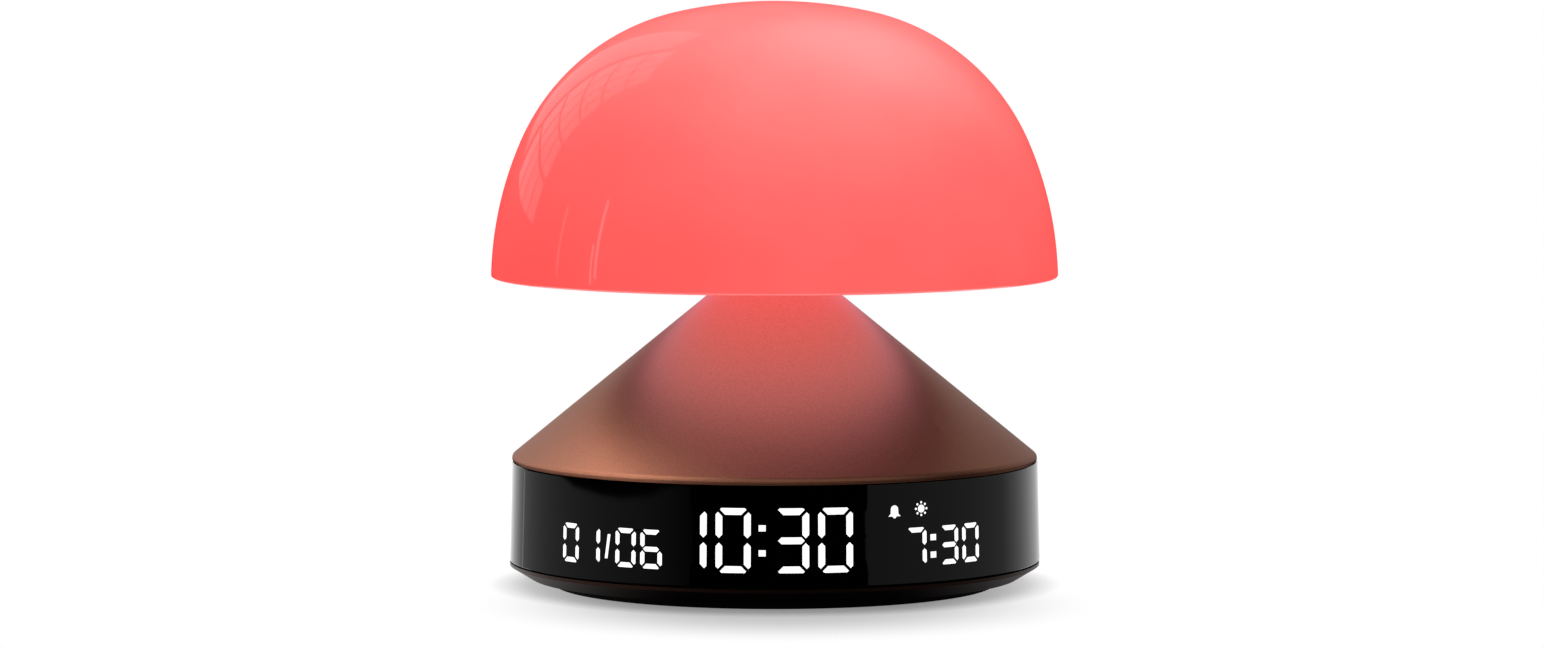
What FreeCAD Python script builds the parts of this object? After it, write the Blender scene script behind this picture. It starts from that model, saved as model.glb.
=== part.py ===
# Sunrise alarm clock: a coral lamp shade on a bronze cone, above a gloss black display band.
# Millimetres. Z is up, the front faces -Y, and the origin is the middle of the foot, on the table.
# Bearings are degrees round the clock, 0 at the front and growing towards +X.
import FreeCAD, Part
import math
import os

Vec = FreeCAD.Vector
UP = Vec(0, 0, 1)
DOWN = Vec(0, 0, -1)
BACK = Vec(0, 1, 0)
FRONT = Vec(0, -1, 0)
MIDDLE = Vec(0, 0, 0)

# Outside stack, from the table up
foot_height = 2.0
cover_chamfer_height = 2.9
cover_lip_height = 0.8
lower_groove = 0.35
band_height = 23.4
upper_groove = 0.42
cone_height = 43.53
press_travel = 1.0
press_play = 0.3
rim_depth = 1.7
shade_height = 65.0

# Outside radii: the band's top edge, and how far each neighbour steps in or out from it
band_top_radius = 62.25
band_draft = 0.6
cone_step = 0.15
cover_step = 0.15
cover_chamfer_width = 4.8
foot_inset = 5.4
cone_top_radius = 10.0
shade_radius = 67.0

# Shade outline: a flat crown and a nearly upright skirt, with a rounder shoulder between them
crown_radius = 106.0
shoulder_radius = 53.0
skirt_radius = 84.4
rim_lean = 1.25
shade_wall = 2.2
rim_round = 0.6
ledge_width = 2.0
ledge_height = 2.0

# Walls and edges
band_wall = 2.05
band_edge_round = 0.3
cone_wall = 2.0
cone_edge_height = 0.92
cone_edge_round = 1.2
cone_lip_width = 1.2
seat_overhang = 1.0
cover_plate = 2.4
spigot_height = 1.35
spigot_wall = 1.8
foot_width = 6.0
foot_seat = 0.6
deck_thickness = 2.0
deck_drop = 0.45

# Clearances
slip = 0.3
seat_play = 0.2
running_play = 0.1
thread_play = 0.05

# Fasteners: pan-head screws in two sizes
small_head_radius = 1.7
small_head_height = 1.0
small_shank_radius = 1.0
small_length = 5.0
large_head_radius = 2.4
large_head_height = 1.5
large_shank_radius = 1.25
large_length = 8.0
slot_width = 0.5
slot_share = 0.6
shank_clearance = 0.2

# Cover, chassis posts and their screws
cover_screw_bearings = (50.0, 130.0, 230.0, 310.0)
cover_screw_circle = 40.0
cover_post_radius = 3.5
cover_boss_radius = 4.5
cover_boss_height = 2.0
head_recess = 0.4
cone_screw_bearings = (45.0, 135.0, 225.0, 315.0)
cone_screw_inset = 9.2
cone_boss_radius = 3.2

# Speaker, facing down through the cover
speaker_y = -17.0
speaker_flange_radius = 21.0
speaker_flange = 1.2
speaker_paper_radius = 15.0
speaker_basket_depth = 6.6
speaker_magnet_radius = 11.0
speaker_magnet_height = 4.5
speaker_seat_height = 2.0
speaker_gasket_height = 0.8
speaker_screw_circle = 18.6
speaker_screw_bearings = (0.0, 90.0, 180.0, 270.0)
paper_thickness = 0.5
grille_radius = 12.6
grille_pitch = 3.6
grille_hole_radius = 1.1

# Main board, its sockets and the charging port
board_lift = 3.6
board_thickness = 1.6
board_margin = 2.6
board_front_y = 6.0
board_post_radius = 2.6
board_post_gap = 0.4
board_post_rear_gap = 1.4
board_side_post = (40.0, 12.0)
board_hole_play = 0.6
socket_size = (6.0, 5.0, 5.4)
socket_y = 9.0
socket_x_left = -14.0
socket_x_right = 12.0
port_width = 8.94
port_height = 3.26
port_depth = 7.7
port_shell = 0.3
port_recess = 0.7
port_tongue = 0.7
port_opening_play = 0.3

# Chips as (x, y, side) and capacitors as (x, y), on the main board
processor = (0.0, 24.0, 9.0)
amplifier = (22.0, 15.0, 5.5)
charger = (-24.0, 14.0, 4.5)
clock_chip = (12.0, 44.0, 4.0)
chip_height = 1.4
capacitor_spots = ((-12.0, 24.0), (33.0, 35.0), (-33.0, 35.0))
capacitor_radius = 2.5
capacitor_height = 5.5

# Rear keys, in a row that slides along Y
key_names = ("light", "down", "set", "up", "alarm")
key_pitch = 11.0
key_radius = 3.3
key_flange_radius = 4.3
key_flange = 1.0
key_stem_radius = 1.6
key_rise = 14.45
key_proud = 0.8
key_travel = 0.5
key_board_inset = 16.2
key_board_half = 33.0
key_board_rise = 8.0
key_block_x = 30.0
key_block_width = 5.0
key_block_depth = 5.0
switch_side = 6.0
switch_height = 3.5
plunger_radius = 1.5
plunger_proud = 1.5
plunger_depth = 1.7

# Display: printed seven-bar figures in the band, light wells and lamps behind them
inlay_depth = 0.6
time_text = "1030"
date_text = "0106"
alarm_text = "730"
bar_shares = (0.65, 0.23, 0.35, 0.6, 0.35)
figure_large = {"width": 8.1, "height": 14.8, "stroke": 1.55}
figure_small = {"width": 5.6, "height": 8.95, "stroke": 1.12}
time_bearing = -2.6
time_inner = 6.1
time_pitch = 9.35
time_rise = 10.85
date_bearing = -37.7
date_inner = 4.65
date_pitch = 6.25
date_rise = 8.2
alarm_bearing = 35.5
alarm_inner = 4.3
alarm_pitch = 6.35
alarm_rise = 8.45
dot_width = 1.6
dot_height = 1.4
dot_gap_large = 5.7
dot_gap_small = 4.0
slash_width = 0.8
slash_height = 5.6
slash_slant = 0.8
bell_bearing = 26.0
bell_rise = 16.9
sun_bearing = 32.5
sun_rise = 17.2
bell_width = 3.15
bell_dome_radius = 0.93
bell_dome_up = 0.45
bell_waist_width = 1.96
bell_waist_up = -0.55
bell_mouth_up = -1.13
clapper_radius = 0.44
sun_disc_radius = 0.9
sun_ray_count = 8
sun_ray_circle = 1.45
sun_ray_radius = 0.27
frame_start = -56.0
frame_end = 54.0
frame_depth = 4.5
film_thickness = 0.25
flex_thickness = 0.3
flex_rise = 2.5
flex_tail_overlap = 1.0
flex_tail_end = 100.0
flex_tail_height = 6.4
lamp_side = 0.8
lamp_height = 0.5
display_screw_bearings = (-50.0, -25.0, 21.5, 48.0)
display_screw_inset = 3.2

# Battery under the deck
battery_size = (44.0, 24.0, 8.0)
battery_gap = 3.0
battery_round = 1.5
tape_thickness = 0.5
tape_margin = 3.0

# Tower, press switch and return spring
tower_flange_radius = 16.0
tower_flange = 2.4
tower_radius = 9.5
tower_bore = 7.5
tower_height = 17.0
tower_top = 2.0
tower_screw_circle = 13.0
tower_screw_bearings = (0.0, 120.0, 240.0)
tower_boss_radius = 2.8
tower_boss_height = 2.4
cable_hole_radius = 3.6
arm_length = 17.5
arm_width = 10.0
press_board_thickness = 1.2
press_switch_x = 12.5
press_switch_height = 4.3
press_plunger_radius = 1.75
press_plunger_sink = 1.9
spring_radius = 6.5
spring_wire = 0.9
spring_turns = 5

# Bush, stem and lamp head
bush_radius = 7.0
bush_flange_radius = 8.6
bush_flange = 1.2
bush_length = 13.4
cone_neck_radius = 9.6
stem_radius = 5.0
stem_bore = 3.2
collar_radius = 7.6
collar_height = 3.2
collar_arm_width = 6.0
collar_arm_length = 15.0
floor_thickness = 2.0
floor_pad_radius = 19.0
floor_pad_height = 2.5
hub_flange = 2.4
hub_post_radius = 3.0
hub_post_height = 6.0
hub_screw_circle = 14.0
hub_screw_bearings = (0.0, 120.0, 240.0)
lamp_screw_bearings = (60.0, 180.0, 300.0)
lamp_board_radius = 26.0
lamp_board_thickness = 1.6
lamp_outer_circle = 21.0
lamp_outer_count = 12
lamp_inner_circle = 8.0
lamp_inner_count = 6
lamp_package = (3.5, 2.8, 0.7)

# Cables
lamp_cable_radius = 1.1
lead_radius = 0.7
lead_gap = 1.0
lead_loop = 2.8
bend_share = 0.45

# Heights that follow from the stack
cover_lip_low = foot_height + cover_chamfer_height
cover_lip_high = cover_lip_low + cover_lip_height
band_low = cover_lip_high + lower_groove
band_high = band_low + band_height
cone_low = band_high + upper_groove
cone_high = cone_low + cone_height
floor_low = cone_high + press_travel + press_play
shade_low = floor_low - rim_depth
shade_top = shade_low + shade_height
cover_inside = foot_height + cover_plate
deck_high = band_high - deck_drop
deck_low = deck_high - deck_thickness
board_low = cover_inside + board_lift
board_high = board_low + board_thickness
tower_seat = deck_high + tower_flange + tower_height
bush_low = cone_high - bush_length
collar_high = bush_low - press_play
collar_low = collar_high - collar_height
floor_high = floor_low + floor_thickness
pad_high = floor_high + floor_pad_height
hub_high = pad_high + hub_flange
lamp_board_low = hub_high + hub_post_height
lamp_board_high = lamp_board_low + lamp_board_thickness
port_middle = board_high + port_height / 2
key_height = band_low + key_rise

# Radii that follow from the band
band_bottom_radius = band_top_radius + band_draft
past_band = band_bottom_radius + 2 * key_proud
cone_edge_radius = band_top_radius - cone_step
cover_radius = band_bottom_radius - cover_step
cover_flat_radius = cover_radius - cover_chamfer_width
foot_radius = cover_flat_radius - foot_inset
band_inside = band_top_radius - band_wall
cone_inside = band_inside - cone_lip_width
cone_screw_circle = band_inside - cone_screw_inset
deck_radius = band_inside - slip
board_radius = band_inside - board_margin
key_board_y = band_inside - key_board_inset
battery_front_y = socket_y + battery_gap
board_rear_post_x = battery_size[0] / 2 + board_post_gap + board_post_radius
board_rear_post_y = key_board_y - board_post_rear_gap - board_post_radius
frame_outside = band_inside - slip - film_thickness - running_play
frame_inside = frame_outside - frame_depth
flex_inside = frame_inside - flex_thickness


def at(radius, bearing, height=0.0):
    """The point at a radius and a bearing."""
    turn = math.radians(bearing)
    return Vec(radius * math.sin(turn), -radius * math.cos(turn), height)


def outward(bearing):
    """Unit direction out of the clock at a bearing."""
    return at(1.0, bearing)


def sideways(bearing):
    """Unit direction along the band at a bearing, towards growing bearings."""
    return at(1.0, bearing + 90.0)


def spun(points, sweep=360.0):
    """Solid of revolution about Z from a closed outline of (radius, height) points."""
    corners = [Vec(radius, 0, height) for radius, height in points]
    face = Part.Face(Part.makePolygon(corners + corners[:1]))
    return face.revolve(MIDDLE, UP, sweep)


def drum(radius, low, high, x=0.0, y=0.0):
    """Upright cylinder between two heights."""
    return Part.makeCylinder(radius, high - low, Vec(x, y, low))


def ring(outer, inner, low, high, x=0.0, y=0.0):
    """Upright tube between two heights."""
    return drum(outer, low, high, x, y).cut(drum(inner, low, high, x, y))


def block(low, high):
    """Box between two opposite corners, each an (x, y, z)."""
    size = [top - bottom for bottom, top in zip(low, high)]
    return Part.makeBox(*size, Vec(*low))


def strip(outer, inner, low, high, start, end):
    """Curved strip between two radii, two heights and two bearings."""
    outline = [(inner, low), (outer, low), (outer, high), (inner, high)]
    solid = spun(outline, end - start)
    solid.rotate(MIDDLE, UP, start - 90.0)
    return solid


def round_edges(solid, size, wanted):
    """Rounds each circular edge that wanted(radius, height) picks."""
    chosen = []
    for edge in solid.Edges:
        if edge.Degenerated:
            continue
        curve = edge.Curve
        if isinstance(curve, Part.Circle) and wanted(curve.Radius, curve.Center.z):
            chosen.append(edge)
    return solid.makeFillet(size, chosen)


def near(first, second):
    """True for two sizes that are the same within a thousandth."""
    return abs(first - second) < 0.001


def screw(seat, axis, head_radius, head_height, shank_radius, length):
    """Slotted pan-head screw. The seat is under its head, and the axis points down the shank."""
    head = Part.makeCylinder(head_radius, head_height, seat - axis * head_height, axis)
    shank = Part.makeCylinder(shank_radius, length, seat, axis)
    body = head.fuse(shank)
    slot = Part.makeBox(head_radius * 2, slot_width, head_height * slot_share)
    slot.translate(Vec(-head_radius, -slot_width / 2, 0))
    turned = FreeCAD.Rotation(UP, axis)
    slot.Placement = FreeCAD.Placement(seat - axis * head_height, turned) * slot.Placement
    return body.cut(slot)


def small_screw(seat, axis):
    """Screw for boards, brackets and the speaker."""
    return screw(seat, axis, small_head_radius, small_head_height, small_shank_radius, small_length)


def large_screw(seat, axis):
    """Screw for the cover and the cone."""
    return screw(seat, axis, large_head_radius, large_head_height, large_shank_radius, large_length)


def small_pilot(seat, axis):
    """Threaded hole for a small screw whose head sits at the seat."""
    return Part.makeCylinder(small_shank_radius + thread_play, small_length + slip, seat, axis)


def large_pilot(seat, axis):
    """Threaded hole for a large screw whose head sits at the seat."""
    return Part.makeCylinder(large_shank_radius + thread_play, large_length + slip, seat, axis)


def through(shank_radius, low, high, point):
    """Clearance hole for a shank, upright between two heights."""
    return drum(shank_radius + shank_clearance, low, high, point.x, point.y)


def leaning(turn):
    """Unit direction in the XZ plane, turned from upright towards +X."""
    return Vec(math.sin(turn), 0, math.cos(turn))


def lean_of(start, end):
    """Turn from upright of the line between two points in the XZ plane."""
    return math.atan2(end.x - start.x, end.z - start.z)


def outer_meeting(first, first_reach, second, second_reach):
    """The point on the +X side at one distance from a first centre and another from a second."""
    apart = second.distanceToPoint(first)
    along = (first_reach ** 2 - second_reach ** 2 + apart ** 2) / (2 * apart)
    aside = math.sqrt(first_reach ** 2 - along ** 2)
    lean = lean_of(first, second)
    return first + leaning(lean) * along + leaning(lean + math.pi / 2) * aside


def shade_arcs(offset):
    """Edges of the shade's outline from its apex to its rim, moved inwards by an offset."""
    rim_turn = math.radians(90.0 - rim_lean)
    crown = Vec(0, 0, shade_top - crown_radius)
    skirt = Vec(shade_radius, 0, shade_low) - leaning(rim_turn) * skirt_radius
    shoulder = outer_meeting(crown, crown_radius - shoulder_radius, skirt, skirt_radius - shoulder_radius)
    crown_turn = lean_of(crown, shoulder)
    shoulder_turn = lean_of(skirt, shoulder)
    arcs = ((crown, crown_radius, 0.0, crown_turn), (shoulder, shoulder_radius, crown_turn, shoulder_turn),
            (skirt, skirt_radius, shoulder_turn, rim_turn))
    edges = []
    for centre, radius, first, last in arcs:
        turns = (first, (first + last) / 2, last)
        points = [centre + leaning(turn) * (radius - offset) for turn in turns]
        edges.append(Part.Arc(*points).toShape())
    return edges


def shade_solid(offset):
    """Closed dome inside the shade's outline, moved inwards by an offset."""
    edges = shade_arcs(offset)
    apex = edges[0].Vertexes[0].Point
    rim = edges[-1].Vertexes[-1].Point
    foot = Vec(rim.x, 0, shade_low - rim_depth)
    low = Vec(0, 0, foot.z)
    edges.append(Part.makeLine(rim, foot))
    edges.append(Part.makeLine(foot, low))
    edges.append(Part.makeLine(low, apex))
    return Part.Face(Part.Wire(edges)).revolve(MIDDLE, UP, 360)


def make_shade_dome():
    """Translucent shade, open below, with a ledge inside that the floor seats against."""
    outer = shade_solid(0.0)
    inner = shade_solid(shade_wall)
    above_rim = drum(shade_radius * 2, shade_low, shade_top + shade_wall)
    ledge = outer.common(ring(shade_radius * 2, ledge_bore(), floor_high, floor_high + ledge_height))
    dome = outer.cut(inner).fuse(ledge).common(above_rim)
    return round_edges(dome, rim_round, lambda radius, height: near(height, shade_low))


def shade_inside_radius(height):
    """Radius of the shade's inside at a height near its rim."""
    slice_at = shade_solid(shade_wall).slice(UP, height)[0]
    return slice_at.BoundBox.XMax


def ledge_bore():
    """Radius of the opening that the ledge leaves."""
    return shade_inside_radius(floor_high) - ledge_width


def make_shade_floor():
    """Diffusing disc that closes the shade, with a raised pad for the hub."""
    radius = shade_inside_radius(floor_low) - seat_play
    plate = drum(radius, floor_low, floor_high)
    plate = plate.fuse(drum(floor_pad_radius, floor_high, pad_high))
    cuts = [drum(stem_radius + running_play, floor_low, pad_high)]
    for bearing in hub_screw_bearings:
        cuts.append(small_pilot(at(hub_screw_circle, bearing, hub_high), DOWN))
    return plate.cut(cuts)


def make_shade_hub():
    """Flange, guide stem and lamp posts in one moulding, bored for the lamp cable."""
    hub = drum(floor_pad_radius, pad_high, hub_high)
    hub = hub.fuse(drum(stem_radius, collar_low, hub_high))
    cuts = [drum(stem_bore, collar_low, hub_high)]
    for bearing in lamp_screw_bearings:
        post = at(hub_screw_circle, bearing)
        hub = hub.fuse(drum(hub_post_radius, hub_high, lamp_board_low, post.x, post.y))
        cuts.append(small_pilot(Vec(post.x, post.y, lamp_board_high), DOWN))
    for bearing in hub_screw_bearings:
        cuts.append(through(small_shank_radius, pad_high, hub_high, at(hub_screw_circle, bearing)))
    return hub.cut(cuts)


def make_head_screws():
    """Three screws hold the hub to the floor, and three the lamp board to the hub."""
    screws = [small_screw(at(hub_screw_circle, b, hub_high), DOWN) for b in hub_screw_bearings]
    screws += [small_screw(at(hub_screw_circle, b, lamp_board_high), DOWN) for b in lamp_screw_bearings]
    return Part.Compound(screws)


def make_lamp_board():
    """Round aluminium board that carries the lamps."""
    cuts = [drum(lamp_cable_radius + seat_play, lamp_board_low, lamp_board_high)]
    for bearing in lamp_screw_bearings:
        spot = at(hub_screw_circle, bearing)
        cuts.append(through(small_shank_radius, lamp_board_low, lamp_board_high, spot))
    return drum(lamp_board_radius, lamp_board_low, lamp_board_high).cut(cuts)


def make_lamps():
    """Lamp packages in rings on top of their board."""
    length, width, height = lamp_package
    lamps = []
    for circle, count in ((lamp_outer_circle, lamp_outer_count), (lamp_inner_circle, lamp_inner_count)):
        for index in range(count):
            lamp = Part.makeBox(width, length, height, Vec(-width / 2, -circle - length / 2, lamp_board_high))
            lamp.rotate(MIDDLE, UP, 360.0 * (index + 0.5) / count)
            lamps.append(lamp)
    return Part.Compound(lamps)


def make_stem_collar():
    """Ring on the stem's end: it stops against the bush, takes the spring and presses the switch."""
    half = collar_arm_width / 2
    arm = block((0, -half, collar_low), (collar_arm_length, half, collar_high))
    collar = drum(collar_radius, collar_low, collar_high).fuse(arm)
    cuts = [drum(stem_radius + thread_play, collar_low, collar_high)]
    middle = (collar_low + collar_high) / 2
    for side in (-1, 1):
        reach = collar_radius - stem_radius
        cuts.append(Part.makeCylinder(small_shank_radius + thread_play, reach + slip,
                                      Vec(0, side * (stem_radius - slip), middle), Vec(0, side, 0)))
    return collar.cut(cuts)


def make_collar_screws():
    """Two grub screws that clamp the collar on the stem."""
    middle = (collar_low + collar_high) / 2
    length = collar_radius - stem_radius - seat_play
    grubs = []
    for side in (-1, 1):
        start = Vec(0, side * (stem_radius + thread_play), middle)
        grubs.append(Part.makeCylinder(small_shank_radius, length, start, Vec(0, side, 0)))
    return Part.Compound(grubs)


def make_press_plunger():
    """Plunger of the press switch, under the collar's arm."""
    low = press_switch_top() - press_plunger_sink
    return drum(press_plunger_radius, low, collar_low, press_switch_x, 0)


def press_switch_top():
    """Height of the press switch's body."""
    return tower_seat + press_board_thickness + press_switch_height


def make_cone_body():
    """Bronze cone: a thin shell with screw bosses inside and a neck round the bush."""
    edge_top = cone_low + cone_edge_height
    rise, run = cone_high - edge_top, cone_edge_radius - cone_top_radius
    slope = math.hypot(rise, run)
    step_r, step_z = cone_wall * rise / slope, cone_wall * run / slope
    seat_radius = band_inside + seat_overhang
    inner_low = edge_top - step_z - (cone_inside - cone_edge_radius + step_r) * rise / run
    inner_top = cone_high - step_z
    outer = spun([(0, band_high), (seat_radius, band_high), (seat_radius, cone_low),
                  (cone_edge_radius, cone_low), (cone_edge_radius, edge_top),
                  (cone_top_radius, cone_high), (0, cone_high)])
    outer = round_edges(outer, cone_edge_round,
                        lambda radius, height: near(height, edge_top) and near(radius, cone_edge_radius))
    below_seat = band_high - cone_wall
    hollow = spun([(0, below_seat), (cone_inside, below_seat), (cone_inside, inner_low),
                   (cone_top_radius - step_r, inner_top), (0, inner_top)])
    shell = outer.cut(hollow)
    below = spun([(0, deck_high), (seat_radius, deck_high), (seat_radius, band_high), (0, band_high)])
    room = outer.fuse(below)
    shell = shell.fuse(outer.common(drum(cone_neck_radius, bush_low, cone_high)))
    cuts = [drum(bush_radius, bush_low, cone_high)]
    cuts.append(drum(bush_flange_radius, cone_high - bush_flange, cone_high))
    for bearing in cone_screw_bearings:
        spot = at(cone_screw_circle, bearing, deck_low)
        boss = drum(cone_boss_radius, deck_high, cone_high, spot.x, spot.y)
        shell = shell.fuse(room.common(boss))
        cuts.append(large_pilot(spot, UP))
    return shell.cut(cuts)


def make_guide_bush():
    """Acetal bush in the cone's neck that guides the stem."""
    bush = drum(bush_radius, bush_low, cone_high)
    bush = bush.fuse(drum(bush_flange_radius, cone_high - bush_flange, cone_high))
    return bush.cut(drum(stem_radius + running_play, bush_low, cone_high))


def make_switch_tower():
    """Post on the deck that carries the spring and the press switch."""
    tower = drum(tower_flange_radius, deck_high, deck_high + tower_flange)
    tower = tower.fuse(drum(tower_radius, deck_high, tower_seat))
    arm = block((0, -arm_width / 2, tower_seat - tower_top), (arm_length, arm_width / 2, tower_seat))
    tower = tower.fuse(arm)
    bore_high = tower_seat - tower_top
    flange_high = deck_high + tower_flange
    cuts = [drum(tower_bore, deck_high, bore_high), drum(cable_hole_radius, deck_high, tower_seat)]
    for bearing in tower_screw_bearings:
        spot = at(tower_screw_circle, bearing)
        cuts.append(through(small_shank_radius, deck_high, flange_high, spot))
        cuts.append(drum(small_head_radius + slip, flange_high, bore_high, spot.x, spot.y))
    return tower.cut(cuts)


def make_press_board():
    """Small board under the press switch."""
    inner = spring_radius + spring_wire / 2 + slip
    half = arm_width / 2
    return block((inner, -half, tower_seat), (arm_length, half, tower_seat + press_board_thickness))


def make_press_switch():
    """Body of the press switch, with the well that its plunger slides in."""
    low = tower_seat + press_board_thickness
    high = press_switch_top()
    half = switch_side / 2
    body = block((press_switch_x - half, -half, low), (press_switch_x + half, half, high))
    depth = press_plunger_sink + press_travel + press_play
    well = drum(press_plunger_radius + seat_play, high - depth, high, press_switch_x, 0)
    return body.cut(well)


def make_return_spring():
    """Coil that lifts the head: quarter turns of wire from the tower's top to the collar."""
    low = tower_seat + spring_wire / 2
    high = collar_low - spring_wire / 2
    quarters = spring_turns * 4
    climb = (high - low) / quarters

    def on_helix(quarter):
        turn = math.radians(90.0 * quarter)
        return Vec(spring_radius * math.cos(turn), spring_radius * math.sin(turn), low + climb * quarter)

    arcs = []
    for index in range(quarters):
        points = [on_helix(index + step) for step in (0.0, 0.5, 1.0)]
        arcs.append(Part.Arc(*points).toShape())
    path = Part.Wire(arcs)
    start = on_helix(0)
    section = Part.Wire(Part.makeCircle(spring_wire / 2, start, Vec(0, spring_radius * math.pi / 2, climb)))
    return path.makePipeShell([section], True, False)


def make_chassis():
    """Deck inside the band's top, with posts down to the cover and to both boards."""
    deck = drum(deck_radius, deck_low, deck_high)
    cuts = [drum(cable_hole_radius, deck_low, deck_high)]
    for bearing in cover_screw_bearings:
        spot = at(cover_screw_circle, bearing)
        deck = deck.fuse(drum(cover_post_radius, cover_inside + cover_boss_height, deck_low, spot.x, spot.y))
        cuts.append(large_pilot(cover_screw_seat(bearing), UP))
    for spot in board_post_spots():
        deck = deck.fuse(drum(board_post_radius, board_high, deck_low, spot.x, spot.y))
        cuts.append(small_pilot(Vec(spot.x, spot.y, board_low), UP))
    for bearing in tower_screw_bearings:
        spot = at(tower_screw_circle, bearing)
        deck = deck.fuse(drum(tower_boss_radius, deck_low - tower_boss_height, deck_low, spot.x, spot.y))
        cuts.append(small_pilot(Vec(spot.x, spot.y, deck_high + tower_flange), DOWN))
    for bearing in cone_screw_bearings:
        cuts.append(through(large_shank_radius, deck_low, deck_high, at(cone_screw_circle, bearing)))
    for bearing in display_screw_bearings:
        cuts.append(through(small_shank_radius, deck_low, deck_high, display_screw_spot(bearing)))
    for side in (-1, 1):
        middle = side * key_block_x
        half = key_block_width / 2
        deck = deck.fuse(block((middle - half, key_board_y - key_block_depth, key_board_low()),
                               (middle + half, key_board_y, deck_low)))
        cuts.append(small_pilot(key_screw_seat(side), FRONT))
    return deck.cut(cuts)


def board_post_spots():
    """Where the main board is screwed to the chassis."""
    posts = ((board_rear_post_x, board_rear_post_y), board_side_post)
    return [Vec(side * x, y, 0) for x, y in posts for side in (-1, 1)]


def display_screw_spot(bearing):
    """Where a screw goes down through the deck into the light-well block."""
    return at(deck_radius - display_screw_inset, bearing, deck_high)


def cover_screw_seat(bearing):
    """Where a cover screw's head rests, sunk in the cover's underside."""
    return at(cover_screw_circle, bearing, foot_height + head_recess + large_head_height)


def key_board_low():
    """Lower edge of the key board and of the blocks that carry it."""
    return band_low + key_board_rise


def key_screw_seat(side):
    """Where a key board screw's head rests."""
    return Vec(side * key_block_x, key_board_y + board_thickness, (key_board_low() + deck_low) / 2)


def make_bottom_cover():
    """Bronze tray under the band, with the foot's seat, the grille and the speaker's seat."""
    shoulder = band_inside + seat_overhang
    spigot = band_inside - seat_play
    spigot_top = band_low + spigot_height
    cover = spun([(0, foot_height), (cover_flat_radius, foot_height), (cover_radius, cover_lip_low),
                  (cover_radius, cover_lip_high), (shoulder, cover_lip_high), (shoulder, band_low),
                  (spigot, band_low), (spigot, spigot_top), (spigot - spigot_wall, spigot_top),
                  (spigot - spigot_wall, cover_inside), (0, cover_inside)])
    seat_top = cover_inside + speaker_seat_height
    seat = ring(speaker_flange_radius, speaker_paper_radius, cover_inside, seat_top, 0, speaker_y)
    cover = cover.fuse(seat)
    cuts = [ring(foot_radius, foot_radius - foot_width, foot_height, foot_height + foot_seat)]
    boss_high = cover_inside + cover_boss_height
    for bearing in cover_screw_bearings:
        spot = cover_screw_seat(bearing)
        cover = cover.fuse(drum(cover_boss_radius, cover_inside, boss_high, spot.x, spot.y))
        cuts.append(drum(large_head_radius + slip, foot_height, spot.z, spot.x, spot.y))
        cuts.append(through(large_shank_radius, foot_height, boss_high, spot))
    for seat in speaker_screw_seats():
        cuts.append(small_pilot(seat, DOWN))
    for spot in grille_spots():
        cuts.append(drum(grille_hole_radius, foot_height, cover_inside, spot.x, spot.y))
    return cover.cut(cuts)


def grille_spots():
    """Centres of the sound holes, on a triangular grid under the speaker."""
    row_pitch = grille_pitch * math.sqrt(3) / 2
    rows = int(grille_radius / row_pitch)
    spots = []
    for row in range(-rows, rows + 1):
        shift = grille_pitch / 2 if row % 2 else 0.0
        columns = int(grille_radius / grille_pitch) + 1
        for column in range(-columns, columns + 1):
            x, y = column * grille_pitch + shift, row * row_pitch
            if math.hypot(x, y) <= grille_radius:
                spots.append(Vec(x, speaker_y + y, 0))
    return spots


def speaker_flange_top():
    """Height of the upper face of the speaker's flange."""
    return cover_inside + speaker_seat_height + speaker_gasket_height + speaker_flange


def speaker_screw_seats():
    """Where the speaker's screw heads rest."""
    return [at(speaker_screw_circle, bearing, speaker_flange_top()) + Vec(0, speaker_y, 0)
            for bearing in speaker_screw_bearings]


def make_foot_ring():
    """Rubber ring that the clock stands on."""
    foot = ring(foot_radius, foot_radius - foot_width, 0, foot_height + foot_seat)
    return round_edges(foot, foot_seat, lambda radius, height: near(height, 0))


def make_cover_screws():
    """Four screws from below, through the cover into the chassis posts."""
    return Part.Compound([large_screw(cover_screw_seat(bearing), UP) for bearing in cover_screw_bearings])


def make_cone_screws():
    """Four screws from under the deck up into the cone's bosses."""
    return Part.Compound([large_screw(at(cone_screw_circle, b, deck_low), UP) for b in cone_screw_bearings])


def make_small_screws():
    """Every small screw in the base: boards, tower, speaker and light-well block."""
    flange_high = deck_high + tower_flange
    screws = [small_screw(Vec(spot.x, spot.y, board_low), UP) for spot in board_post_spots()]
    screws += [small_screw(key_screw_seat(side), FRONT) for side in (-1, 1)]
    screws += [small_screw(at(tower_screw_circle, b, flange_high), DOWN) for b in tower_screw_bearings]
    screws += [small_screw(seat, DOWN) for seat in speaker_screw_seats()]
    screws += [small_screw(display_screw_spot(bearing), DOWN) for bearing in display_screw_bearings]
    return Part.Compound(screws)


def make_speaker_gasket():
    """Foam ring between the speaker and the cover."""
    low = cover_inside + speaker_seat_height
    gasket = ring(speaker_flange_radius, speaker_paper_radius, low, low + speaker_gasket_height, 0, speaker_y)
    holes = [through(small_shank_radius, low, low + speaker_gasket_height, s) for s in speaker_screw_seats()]
    return gasket.cut(holes)


def make_speaker_basket():
    """Pressed steel basket: a flange with a cup that holds the magnet."""
    top = speaker_flange_top()
    low = top - speaker_flange
    high = low + speaker_basket_depth
    wall = speaker_flange
    mouth, throat = speaker_paper_radius, speaker_magnet_radius
    basket = spun([(mouth, low), (speaker_flange_radius, low), (speaker_flange_radius, top),
                   (mouth + wall, top), (throat, high), (throat / 2, high),
                   (throat / 2, high - wall), (throat - wall, high - wall), (mouth, top)])
    basket.translate(Vec(0, speaker_y, 0))
    return basket.cut([through(small_shank_radius, low, top, s) for s in speaker_screw_seats()])


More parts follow.
